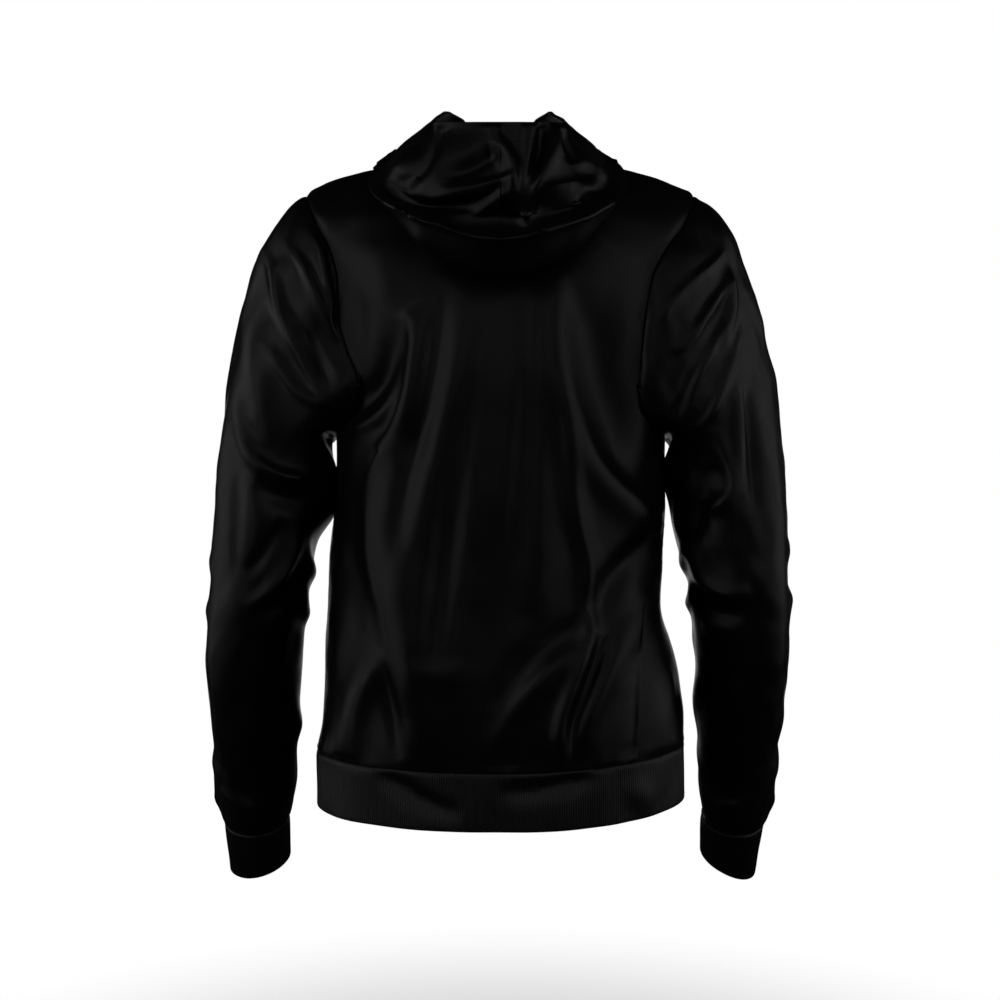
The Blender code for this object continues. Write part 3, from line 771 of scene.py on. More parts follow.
@dataclass(frozen=True)
class ArmForm:
    """Rings along one arm, and the cap that joins them to the armhole."""

    side: Side
    body: BodyForm = BodyForm()
    cap_cluster: float = 1.4
    #            turn lift climb drop
    cap: tuple = (
        (0, 155, -0.25, 450),
        (90, 100, -0.3, 160),
        (140, 80, 0.1, 100),
        (165, 60, 0.4, 70),
        (180, 34, 0.6, 50),
    )
    #            height out_left out_right fore half_left half_right deep lean dip_left dip_right
    rings: tuple = (
        (-310, 234, 235, -4, 59, 60, 66, 0, 0, 0),
        (-336, 235, 236, -6, 60, 61, 66, 0, 0, 0),
        (-378, 244, 240, -6, 53, 58, 63, 4, 0, 0),
        (-420, 249, 248, -2, 51, 52, 61, 10, 0, 0),
        (-462, 255, 252, 8, 49, 50, 58, 15, 0, 0),
        (-506, 259, 255, 21, 49, 49, 56, 18, 0, 0),
        (-550, 261, 256, 36, 47, 47, 54, 19, 0, 0),
        (-596, 263, 256, 52, 45, 43, 52, 19, 0, 0),
        (-642, 266, 257, 68, 44, 41, 50, 19, 0, 0),
        (-665, 267, 257, 76, 40, 38, 46, 19, 0, 0),
        (-684, 267, 256, 82, 35, 34, 40, 19, 0, 0),
    )
    cuff_rings: tuple = (
        (-684, 267, 256, 82, 35, 34, 40, 19, 0, 0),
        (-711, 267, 255, 93, 34, 32, 38, 19, 2, 4),
        (-736, 267, 254, 103, 33, 30, 36, 19, 5, 9),
    )

    def ring(self, row: Array, turn: Array) -> Array:
        """Points round one ring, from the outer point by the back to the inner and the front."""
        right = self.side is Side.RIGHT
        out = row[2 if right else 1] + row[5 if right else 4] * np.cos(turn)
        back, lean = row[6] * np.sin(turn), row[7] * DEGREE
        z = row[0] - back * np.sin(lean) - row[9 if right else 8] * np.cos(turn)
        return np.stack([self.side.value * out, row[3] - back * np.cos(lean), z], axis=-1) * MM

    def dense(self, table: tuple, samples: int) -> Array:
        """The table's rows with so many steps to each, each column read smoothly against the height."""
        rows = np.array(table, float)
        at = np.linspace(0, len(rows) - 1, samples * (len(rows) - 1) + 1)
        return np.stack([smooth(at, np.arange(len(rows)), column) for column in rows.T], axis=-1)

    def sleeve(self, sides: int, cap_rows: int, samples: int) -> Array:
        """The sleeve's grid: the cap, a cubic from the armhole to the first ring, and then the rings."""
        turn = np.linspace(0, 2 * np.pi, sides + 1)[:-1]
        rings = np.stack([self.ring(row, turn) for row in self.dense(self.rings, samples)])
        loop = self.body.armhole(self.side, sides // 2)
        fold = np.minimum(turn, 2 * np.pi - turn)
        knots = [row[0] * DEGREE for row in self.cap]
        lift, climb, drop = (smooth(fold, knots, [row[k] for row in self.cap]) for k in (1, 2, 3))
        outward = (self.body.normal(loop, self.side) + np.array([self.side.value, 0.0, 0.0])) / 2
        outward[:, 2] = climb
        second = np.stack([self.ring(np.array(row, float), turn) for row in self.rings[:2]])
        along = unit_vectors(second[1] - second[0])
        t = np.linspace(0, 1, cap_rows + 1)[:-1, None, None] ** self.cap_cluster
        cap = hermite(t, loop, lift[:, None] * MM * outward, rings[0], drop[:, None] * MM * along)
        return np.concatenate([cap, rings])

    def cuff(self, sides: int, samples: int) -> Array:
        """The cuff's grid of rings."""
        turn = np.linspace(0, 2 * np.pi, sides + 1)[:-1]
        return np.stack([self.ring(row, turn) for row in self.dense(self.cuff_rings, samples)])


@dataclass
class Sleeve:
    """One set-in sleeve, its folds drawn from the back, the front, the outer and the inner side."""

    arm: ArmForm
    finish: bpy.types.Material
    folds: tuple
    cut: tuple
    cut_area: float
    seed: int
    sides: int = 128
    cap_rows: int = 90
    samples: int = 14
    wall: float = 0.0018
    seam: Seam = Seam()
    waves: tuple = ((0.8, 70), (0.3, 26))
    stitch_inset: float = 3.0
    allowance: float = 1.8
    lines: list = field(default_factory=list)

    def build(self) -> bpy.types.Object:
        """Makes the sleeve with its folds and seams."""
        points = self.arm.sleeve(self.sides, self.cap_rows, self.samples)
        # Rows run from the armhole down, so the left sleeve's columns are turned for outward faces.
        grid = ClothGrid(points[:, ::-1] if self.arm.side is Side.LEFT else points, tube=True)
        normals = grid.normals()
        up = grid.up_columns()
        gap = np.minimum(up, up[-1:] - up)
        lift = sum((folds.lift(grid.points, normals) for folds in self.folds), np.zeros(gap.shape))
        for step, (rise, length) in enumerate(self.waves):
            lift += Unevenness(self.seed + step, rise, length).lift(grid.points)
        lift *= self.seam.calmed(gap)
        lift += self.seam.groove(gap)
        around = grid.along_rows()
        lift += self.seam.puckers(gap, around, self.seed + 2)
        shaped = grid.raised(lift, normals)
        turned = ClothGrid(shaped.points[::-1], tube=True)
        points, inward = inset_line(turned, (up[-1:] - up)[::-1], self.stitch_inset * MM)
        self.lines.append((np.concatenate([points, points[:1]]), -np.concatenate([inward, inward[:1]])))
        # The seam allowance slips under the body's edge. It leaves part of the gap at the seam open.
        run = unit_vectors(shaped.points[0] - shaped.points[1])
        tucked = shaped.points[0] + (self.allowance * run - self.allowance / 2 * normals[0]) * MM
        whole = ClothGrid(np.concatenate([tucked[None], shaped.points]), tube=True)
        up, around = np.concatenate([up[:1] - self.allowance * MM, up]), np.concatenate([around[:1], around])
        piece = make_piece(f"sleeve_{self.arm.side.word}_cloth", whole.points, whole.faces(), self.finish,
                           up, around)
        return thickened(piece, self.wall)

    def dress(self) -> bpy.types.Object:
        """Builds the sleeve, hangs it on the root and hides the part that it stands for."""
        piece = self.build()
        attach(piece, "root")
        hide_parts(f"sleeve_{self.arm.side.word}")
        return piece


# ---- Ribbed bands ----


@dataclass
class RibbedBand:
    """A doubled band of rib knit: a closed wall whose two faces carry upright ribs and whose end is a fold.

    Its section is a long loop: down the outer face, round the folded edge, up the inner face and over the
    seam. Every rib is a rounded ridge, rise * |sin| along the band.
    """

    name: str
    node: str
    finish: bpy.types.Material
    top: Array
    bottom: Array
    cut: tuple
    folds: tuple = ()
    pitch: float = 2.3
    rise: float = 0.62
    wall: float = 0.0026
    rows: int = 14
    points_a_rib: int = 4
    fold_steps: int = 5
    crowding: float = 0.35
    calm: float = 8.0
    rib_start: float = 3.0
    rib_end: float = 2.0
    edge_relief: float = 0.5
    inner_relief: float = 0.6
    waves: tuple = (0.5, 60)
    seed: int = 0
    seam: Seam = Seam(depth=1.6, width=2.2, pucker=0.1, calm=5.0)

    def build(self) -> bpy.types.Object:
        """Makes the band."""
        length = np.linalg.norm(np.roll(self.top, -1, axis=0) - self.top, axis=1).sum()
        ribs = round(length / (self.pitch * MM))
        columns = ribs * self.points_a_rib
        top, bottom = self._spread(self.top, columns), self._spread(self.bottom, columns)
        even = np.linspace(0, 1, self.rows + 1)[:, None, None]
        down = ease(even) * self.crowding + even * (1 - self.crowding)
        outer = ClothGrid(top[None] * (1 - down) + bottom[None] * down, tube=True)
        normals = outer.normals()
        if (normals[0] * (top - top.mean(axis=0))).sum() < 0:
            normals = -normals
        up = outer.up_columns()
        lift = sum((folds.lift(outer.points, normals) for folds in self.folds), np.zeros(up.shape))
        lift += Unevenness(self.seed, *self.waves).lift(outer.points)
        lift *= ease(up / (self.calm * MM))
        # The phase keeps the points off the valleys, so that every rib is sampled alike.
        rib = np.abs(np.sin(np.pi * np.arange(columns) / self.points_a_rib + np.pi / 8)) - 0.5
        fade = ease(up / (self.rib_start * MM))
        edge = ease((up[-1:] - up) / (self.rib_end * MM)) * (1 - self.edge_relief) + self.edge_relief
        face = lift + self.rise * MM * rib[None] * fade * edge + self.seam.groove(up)
        outside = outer.points + face[..., None] * normals
        inside = outer.points + (face * self.inner_relief - self.wall)[..., None] * normals
        turn_steps = np.linspace(0, np.pi, self.fold_steps + 1)[1:-1]
        run = unit_vectors(outer.points[-1] - outer.points[-2])
        middle = (outside[-1] + inside[-1]) / 2
        half = (outside[-1] - inside[-1]) / 2
        size = np.linalg.norm(half, axis=-1, keepdims=True)
        fold = [middle + half * np.cos(a) + run * size * np.sin(a) for a in turn_steps]
        section = np.concatenate([outside, np.stack(fold), inside[::-2]])
        grid = ClothGrid(section, tube=True)
        faces = grid.faces()
        index = np.arange(grid.points[..., 0].size).reshape(grid.points.shape[:2])
        last = np.stack([index[-1], np.roll(index[-1], -1), np.roll(index[0], -1), index[0]], axis=-1)
        faces = np.concatenate([faces, last])
        facing = ClothGrid(section[:2], tube=True).normals()[0]
        if (facing * normals[0]).sum() < 0:
            faces = faces[:, ::-1]
        around = grid.along_rows()
        along = grid.up_columns()
        return make_piece(self.name, section, faces, self.finish, along, around)

    @staticmethod
    def _spread(loop: Array, count: int) -> Array:
        """So many points at even spacing round a closed loop."""
        ring = np.concatenate([loop, loop[:1]])
        at = np.concatenate([[0], np.cumsum(np.linalg.norm(np.diff(ring, axis=0), axis=1))])
        want = np.linspace(0, at[-1], count + 1)[:-1]
        return np.stack([np.interp(want, at, column) for column in ring.T], axis=-1)

    def dress(self) -> bpy.types.Object:
        """Builds the band, hangs it on the root and hides the part that it stands for."""
        piece = self.build()
        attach(piece, "root")
        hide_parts(self.node)
        return piece


# ---- Hood ----


@dataclass(frozen=True)
class HoodForm:
    """The hood as a bag whose profile turns round the neck, laid down on the back."""

    body: BodyForm = BodyForm()
    axis_y: float = -0.005
    off_body: float = 0.003
    over_body: float = 0.0045
    form_low: float = -0.14
    crest_over_fold: float = 0.003
    stand_height: float = 0.010
    stand_out: float = 0.005
    under_shares: tuple = (0.15, 0.35, 0.6, 0.85)
    lip_share: float = 0.14
    close_turn: float = 64.0
    farthest: float = 0.4
    halvings: int = 40
    neck_points: int = 400
    spline_steps: int = 12
    #            turn full right_in fold crest crease lobe rim, each of these (out, up)
    profile: tuple = (
        (0, 1.0, 0, (150, -127), (183, -98), (138, -70), (154, -46), (149, 18)),
        (25, 1.0, 0, (150, -105), (180, -76), (146, -60), (163, -38), (144, 22)),
        (35, 1.0, 1, (149, -84), (174, -61), (148, -47), (154, -24), (110, 30)),
        (45, 1.0, 2, (147, -61), (166, -47), (149, -33), (139, -8), (93, 42)),
        (65, 1.0, 5, (135, -21), (140, -14), (127, 2), (105, 25), (67, 58)),
        (75, 1.0, 4, (109, 5), (112, 8), (103, 18), (92, 34), (59, 64)),
        (90, 1.0, 2, (101, 16), (104, 19), (92, 30), (77, 46), (51, 67)),
        (120, 0.9, 1, (108, 6), (111, 10), (101, 20), (80, 38), (44, 65)),
        (150, 0.5, 0, (116, -30), (121, -22), (115, -10), (103, 8), (74, 32)),
        (180, 0.0, 0, (114, -56), (116, -50), (113, -44), (108, -36), (102, -26)),
    )

    def _radius(self, turn: Array, z: Array, side: Side) -> Array:
        """How far the body's section reaches from the neck's axis, found by halving."""
        near, far = np.zeros(turn.shape), np.full(turn.shape, self.farthest)
        half = self.body.half(side, z)
        for _ in range(self.halvings):
            middle = (near + far) / 2
            x, y = middle * np.sin(turn), self.axis_y - middle * np.cos(turn)
            deep = self.body.deep(y < 0, z)
            inside = np.abs(x / half) ** self.body.squareness + np.abs(y / deep) ** self.body.squareness < 1
            near, far = np.where(inside, middle, near), np.where(inside, far, middle)
        return near

    def _height(self, turn: Array, r: Array, side: Side) -> Array:
        """The height at which the body reaches this far from the neck's axis, found by halving."""
        low, high = np.full(turn.shape, self.form_low), np.full(turn.shape, self.body.neck_side)
        for _ in range(self.halvings):
            middle = (low + high) / 2
            wide = self._radius(turn, middle, side) > r
            low, high = np.where(wide, middle, low), np.where(wide, high, middle)
        return low

    def grid(self, side: Side, columns: int, samples: tuple) -> Array:
        """Half the hood: rows up its profile, columns round the neck from the back to the front.

        Args:
            side: which half.
            columns: columns from the middle of the back to `close_turn`; half as many go on to the front.
            samples: steps to each span of the profile.

        Returns:
            The grid of points.
        """
        neck = self.body.neck(side, self.neck_points)
        seam_turn = np.arctan2(np.abs(neck[:, 0]), self.axis_y - neck[:, 1])
        split = self.close_turn * DEGREE
        turn = np.concatenate([np.linspace(0, split, columns),
                               np.linspace(split, np.pi, columns // 2 + 1)[1:]])
        base = np.stack([np.interp(turn, seam_turn, np.hypot(neck[:, 0], neck[:, 1] - self.axis_y)),
                         np.interp(turn, seam_turn, neck[:, 2])], axis=-1)
        knots = [row[0] * DEGREE for row in self.profile]
        full = smooth(turn, knots, [row[1] for row in self.profile])[:, None]
        pull = smooth(turn, knots, [row[2] * MM for row in self.profile]) * (side is Side.RIGHT)
        lines = []
        for k in range(3, 8):
            away, up = (smooth(turn, knots, [row[k][j] * MM for row in self.profile], True) for j in (0, 1))
            lines.append(np.stack([away - pull, up], axis=-1))
        fold, crest = lines[:2]
        bed = self._height(turn, fold[:, 0] - self.off_body, side) + self.over_body
        fold[:, 1] = self._softer_of(fold[:, 1], bed)
        crest[:, 1] = self._softer_of(crest[:, 1], fold[:, 1] + self.crest_over_fold)
        stand = base + np.array([self.stand_out, self.stand_height])
        over = base[:, 1] + self.stand_height / 2
        fall = fold[:, 1] - over
        under = []
        for share in (0, *self.under_shares):
            z = over + share * fall
            under.append(np.stack([self._radius(turn, z - self.over_body, side) + self.off_body, z], axis=-1))
        low_lip = crest + self.lip_share * (fold - crest)
        high_lip = crest + self.lip_share * (lines[2] - crest)
        bag = np.stack([base, stand, *under, fold, low_lip, crest, high_lip, *lines[2:]])
        share = np.linspace(0, 1, len(bag))[:, None, None]
        single = base * (1 - share) + lines[-1] * share
        mixed = full * bag + (1 - full) * single
        profile = self._spline(mixed, samples)
        r, z = profile[..., 0], profile[..., 1]
        return np.stack([side.value * r * np.sin(turn), self.axis_y - r * np.cos(turn), z], axis=-1)

    @staticmethod
    def _softer_of(first: Array, second: Array, reach: float = 0.006) -> Array:
        """The higher of two heights, rounded where they cross: (a + b + root((a - b)^2 + reach^2)) / 2."""
        return (first + second + np.sqrt((first - second) ** 2 + reach ** 2)) / 2

    def _spline(self, points: Array, samples: tuple) -> Array:
        """Rows read along a curve through the rows, with its own number of steps to each span."""
        fine = self.spline_steps
        dense = spline(points, fine)
        rows = [k * fine + j * fine / count for k, count in enumerate(samples) for j in range(count)]
        at = np.array(rows + [len(dense) - 1.0])
        low = np.minimum(at.astype(int), len(dense) - 2)
        part = (at - low)[:, None, None]
        return dense[low] * (1 - part) + dense[low + 1] * part


@dataclass
class HoodHalf:
    """One of the hood's two panels."""

    side: Side
    form: HoodForm
    finish: bpy.types.Material
    folds: tuple
    cut: tuple
    cut_area: float
    seed: int
    columns: int = 118
    samples: tuple = (2, 2, 2, 2, 2, 2, 5, 22, 8, 8, 28, 22, 46)
    crest_row: int = 47
    crest_calm: float = 12.0
    rim_calm: float = 6.0
    front_calm: float = 10.0
    #            the share of the profile's length where each starts, and over how much it comes in
    folds_start: tuple = (0.30, 0.12)
    groove_start: tuple = (0.20, 0.1)
    groove_share: float = 0.2
    waves: tuple = (0.8, 55)
    wall: float = 0.0030
    seam: Seam = Seam(depth=0.5, width=1.6)
    hem_insets: tuple = (19.0, 23.0)
    allowance: float = 4.0
    lines: list = field(default_factory=list)

    def build(self) -> bpy.types.Object:
        """Makes the panel with its folds."""
        points = self.form.grid(self.side, self.columns, self.samples)
        grid = ClothGrid(points[:, ::-1] if self.side is Side.LEFT else points)
        normals = grid.normals()
        along, up = grid.along_rows(), grid.up_columns()
        middle_gap = along[:, -1:] - along if self.side is Side.LEFT else along
        front_gap = along if self.side is Side.LEFT else along[:, -1:] - along
        rim_gap = up[-1:] - up
        lift = sum((folds.lift(grid.points, normals) for folds in self.folds), np.zeros(up.shape))
        lift *= ease((up - up[self.crest_row]) / (self.crest_calm * MM))
        lift += Unevenness(self.seed, *self.waves).lift(grid.points)
        folds_from, folds_over = self.folds_start
        groove_from, groove_over = self.groove_start
        shown = ease((up / up[-1:] - folds_from) / folds_over)
        lift *= shown * ease(rim_gap / (self.rim_calm * MM)) * ease(front_gap / (self.front_calm * MM))
        sunk = ease((up / up[-1:] - groove_from) / groove_over)
        lift += self.seam.groove(middle_gap) * sunk * self.groove_share
        shaped = grid.raised(lift, normals)
        turned = ClothGrid(shaped.points[::-1])
        for inset in self.hem_insets:
            points, inward = inset_line(turned, rim_gap[::-1], inset * MM)
            self.lines.append((points, -inward))
        # The neck seam's allowance reaches down inside the body.
        tucked = shaped.points[:1] - np.array([0.0, 0.0, self.allowance * MM])
        whole = ClothGrid(np.concatenate([tucked, shaped.points]))
        up, along = np.concatenate([up[:1] - self.allowance * MM, up]), np.concatenate([along[:1], along])
        piece = make_piece(f"hood_{self.side.word}_cloth", whole.points, whole.faces(), self.finish, up,
                           along)
        return thickened(piece, self.wall)

    def dress(self) -> bpy.types.Object:
        """Builds the panel, hangs it on the root and hides the part that it stands for."""
        piece = self.build()
        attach(piece, "root")
        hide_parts(f"hood_{self.side.word}")
        return piece


# ---- The folds, drawn one by one ----

BACK_FOLDS = (
    Creases(Facing.BACK, (
        # The left blade: a pocket of shade with a bright hook round its right and lower sides.
        (16, 14, (-97, -160, 0), (-104, -190, -8), (-115, -220, -13), (-134, -238, -12), (-158, -248, 0)),
        (7, 18, (-92, -150, 0), (-84, -172, 7), (-84, -205, 10), (-88, -236, 11), (-97, -262, 10),
         (-110, -284, 6)),
        (8, 9, (-92, -186, 0), (-101, -222, 4), (-113, -248, 6), (-131, -261, 6), (-152, -268, 0)),
        # The long left fold: its left flank falls steeply away, its right side fades slowly.
        (15, 34, (-104, -270, 0), (-113, -296, 7), (-117, -330, 11), (-119, -382, 12), (-113, -417, 11),
         (-105, -447, 10), (-98, -477, 9), (-91, -507, 9), (-87, -538, 8), (-85, -568, 5), (-86, -597, 0)),
        (16, 14, (-148, -300, 0), (-149, -350, -4), (-148, -420, -4), (-140, -480, -3), (-132, -515, 0)),
        # The lit cone at the lower left, and the strip of shade beside it.
        (17, 11, (-119, -478, 0), (-127, -505, 6), (-138, -535, 8), (-146, -570, 6), (-150, -597, 0)),
        (8, 8, (-112, -492, 0), (-107, -520, -5), (-100, -555, -6), (-96, -590, 0)),
        # Broad bands down the middle, on a slant.
        (26, 15, (-24, -118, 0), (-38, -205, 6), (-58, -281, 8), (-73, -382, 9), (-83, -480, 7),
         (-86, -545, 0)),
        (9, 11, (-56, -120, 0), (-60, -180, -4), (-70, -250, -4), (-88, -330, -4), (-96, -400, 0)),
        (12, 20, (-2, -150, 0), (-10, -230, 3), (-24, -320, 3.5), (-38, -420, 3.5), (-46, -500, 3),
         (-48, -560, 0)),
        (18, 11, (14, -116, 0), (12, -200, 2), (6, -300, 3), (-4, -400, 3), (-12, -470, 0)),
        (10, 18, (42, -130, 0), (43, -200, 2.5), (38, -300, 3.5), (32, -400, 3.5), (26, -450, 0)),
        # The right shoulder: a ridge that turns off to the side above a broad hollow.
        (20, 12, (52, -104, 0), (56, -150, 5), (58, -190, 7), (67, -238, 8), (86, -290, 9), (110, -320, 9),
         (138, -346, 8), (158, -362, 0)),
        (22, 26, (84, -120, 0), (90, -170, -8), (100, -225, -13), (120, -280, -14), (144, -315, -8),
         (160, -335, 0)),
        (9, 9, (58, -212, 0), (63, -250, 4), (68, -306, 5), (76, -356, 6), (86, -400, 6), (87, -445, 4),
         (86, -470, 0)),
        # The shade under that ridge, and the cone of light below the shade.
        (16, 13, (160, -372, 0), (138, -388, -9), (116, -412, -12), (100, -436, -9), (92, -462, 0)),
        (13, 15, (148, -420, 0), (136, -446, 6), (118, -477, 8), (100, -510, 8), (84, -545, 7),
         (74, -590, 0)),
        (9, 8, (90, -440, 0), (86, -465, 6), (80, -490, 8), (71, -512, 8), (61, -540, 8), (57, -565, 7),
         (60, -595, 0)),
        (7, 8, (100, -466, 0), (93, -490, -5), (83, -520, -7), (72, -552, -6), (70, -588, 0)),
        # The hook at the lower middle: shade above, a light slant below.
        (13, 13, (88, -452, 0), (62, -464, -6), (38, -482, -6), (16, -506, -5), (-4, -540, 0)),
        (11, 13, (84, -482, 0), (66, -488, 4), (42, -505, 6), (20, -530, 6), (0, -565, 4), (-8, -592, 0)),
        # A level break near the hem on the left, and slack at the right side seam.
        (16, 9, (-88, -497, 0), (-70, -501, 2), (-45, -500, 2), (-26, -495, 0)),
        (12, 12, (150, -470, 0), (146, -505, -5), (140, -545, -5), (138, -590, 0)),
        # The shoulders drop away under the hood.
        (18, 18, (-150, -75, 0), (-125, -98, 3), (-110, -130, 3), (-118, -160, 0)),
        (14, 14, (-150, -120, 0), (-142, -150, -3), (-138, -185, -3), (-142, -215, 0)),
    )),
)

FRONT_FOLDS = (
    Creases(Facing.FRONT, (
        (14, 24, (-84, -130, 0), (-86, -180, 6), (-92, -240, 8), (-108, -310, 9), (-112, -390, 9),
         (-98, -460, 8), (-88, -530, 7), (-86, -595, 0)),
        (24, 14, (78, -120, 0), (80, -190, 6), (90, -260, 8), (106, -330, 9), (100, -410, 8), (86, -480, 8),
         (74, -540, 6), (72, -595, 0)),
        (18, 18, (12, -140, 0), (8, -230, -4), (-8, -330, -5), (-18, -430, -5), (-12, -520, 0)),
        (14, 14, (-36, -150, 0), (-34, -240, 3), (-40, -330, 4), (-48, -430, 4), (-44, -540, 0)),
        (14, 14, (44, -170, 0), (40, -260, 3), (36, -360, 4), (40, -460, 4), (34, -560, 0)),
        (16, 16, (150, -330, 0), (140, -380, -8), (138, -450, -8), (144, -530, 0)),
        (16, 16, (-152, -320, 0), (-144, -370, -8), (-140, -440, -8), (-148, -520, 0)),
        (9, 10, (-150, -282, 0), (-128, -268, 5), (-110, -236, 6), (-98, -200, 0)),
        (10, 9, (150, -286, 0), (126, -270, 5), (108, -240, 6), (100, -196, 0)),
        (12, 12, (96, -500, 0), (60, -512, 5), (24, -534, 5), (6, -565, 0)),
    )),
)

WAISTBAND_FOLDS = (
    Creases(Facing.BACK, (
        (9, 8, (-124, -602, 0), (-102, -610, -5), (-78, -624, -6), (-52, -634, -4), (-34, -638, 0)),
        (9, 9, (-6, -618, 0), (20, -616, -5), (50, -612, -6), (78, -606, -5), (96, -598, 0)),
        (12, 12, (124, -606, 0), (134, -622, 3), (150, -640, 0)),
    )),
    Creases(Facing.FRONT, (
        (9, 9, (-92, -604, 0), (-66, -616, -5), (-36, -628, -4), (-14, -634, 0)),
        (9, 9, (20, -628, 0), (52, -620, -5), (84, -610, -4), (106, -600, 0)),
    )),
)

LEFT_SLEEVE_FOLDS = (
    Creases(Facing.BACK, (
        # Drag lines that run down and in from the shoulder to the armhole.
        (6, 7, (-246, -72, 0), (-229, -107, 4), (-216, -152, 6), (-200, -187, 6), (-184, -216, 5),
         (-172, -240, 0)),
        (5, 5, (-190, -66, 0), (-178, -88, 3), (-172, -114, 4), (-165, -142, 4), (-160, -168, 0)),
        (5, 6, (-214, -78, 0), (-197, -102, 4), (-184, -128, 5), (-170, -156, 5), (-158, -184, 0)),
        (6, 6, (-238, -172, 0), (-221, -198, 5), (-200, -228, 6), (-178, -241, 4), (-162, -246, 0)),
        (6, 7, (-206, -138, 0), (-194, -166, -4), (-180, -196, -5), (-168, -222, 0)),
        # The sweep above the elbow, with an oval of shade under it.
        (9, 8, (-264, -224, 0), (-261, -250, 5), (-253, -282, 8), (-234, -304, 9), (-208, -315, 8),
         (-188, -311, 0)),
        (13, 13, (-246, -320, 0), (-226, -330, -7), (-203, -336, -8), (-186, -330, 0)),
        (16, 14, (-262, -130, 0), (-256, -160, 3), (-245, -208, 5), (-234, -250, 5), (-224, -285, 0)),
        # The lens at the elbow.
        (7, 7, (-200, -366, 0), (-206, -381, 6), (-216, -406, 8), (-238, -434, 6), (-256, -446, 0)),
        (9, 9, (-190, -388, 0), (-198, -412, -7), (-216, -438, -8), (-240, -456, 0)),
        (7, 7, (-212, -352, 0), (-224, -370, -5), (-240, -396, -6), (-258, -412, 0)),
        # The flat outer face below, and the pile at the cuff.
        (6, 10, (-262, -300, 0), (-264, -330, -4), (-264, -372, -4), (-266, -410, 0)),
        (14, 20, (-282, -420, 0), (-286, -480, 5), (-288, -560, 5), (-288, -630, 3), (-286, -670, 0)),
        (7, 7, (-292, -606, 0), (-280, -625, -4), (-270, -645, -5), (-262, -668, 0)),
        (7, 8, (-296, -640, 0), (-284, -652, 4), (-266, -662, 5), (-244, -660, 0)),
    )),
    Creases(Facing.LEFT, (
        (10, 10, (-30, -120, 0), (-12, -170, 2), (-2, -230, 2.5), (10, -290, 0)),
        (10, 10, (46, -330, 0), (20, -372, 3), (-16, -400, 3), (-40, -408, 0)),
        (9, 9, (52, -380, 0), (30, -420, 2.5), (-4, -448, 3), (-30, -452, 0)),
        (10, 10, (92, -560, 0), (70, -596, 2.5), (40, -620, 2), (22, -626, 0)),
        (8, 8, (110, -620, 0), (90, -644, 2.5), (62, -660, 2), (48, -662, 0)),
    )),
    Creases(Facing.RIGHT, (
        # The slack inside the elbow hangs over towards the body.
        (20, 22, (-46, -268, 0), (-30, -296, 8), (-10, -326, 9), (14, -352, 7), (34, -380, 0)),
        (9, 9, (-40, -376, 0), (-16, -400, 4), (10, -414, 4), (30, -420, 0)),
        (9, 9, (-30, -420, 0), (-4, -446, 4), (24, -458, 4), (44, -460, 0)),
        (12, 12, (0, -520, 0), (20, -560, 3), (50, -580, 3), (70, -584, 0)),
    )),
    Creases(Facing.FRONT, (
        (8, 9, (-172, -100, 0), (-186, -140, 5), (-206, -190, 6), (-230, -226, 0)),
        (9, 9, (-166, -170, 0), (-188, -214, 6), (-216, -256, 6), (-244, -276, 0)),
        (10, 10, (-196, -330, 0), (-220, -362, 6), (-250, -380, 6), (-276, -384, 0)),
        (10, 10, (-206, -400, 0), (-228, -428, 6), (-256, -442, 5), (-280, -440, 0)),
        (12, 12, (-250, -480, 0), (-256, -540, 4), (-262, -600, 4), (-264, -660, 0)),
    )),
)

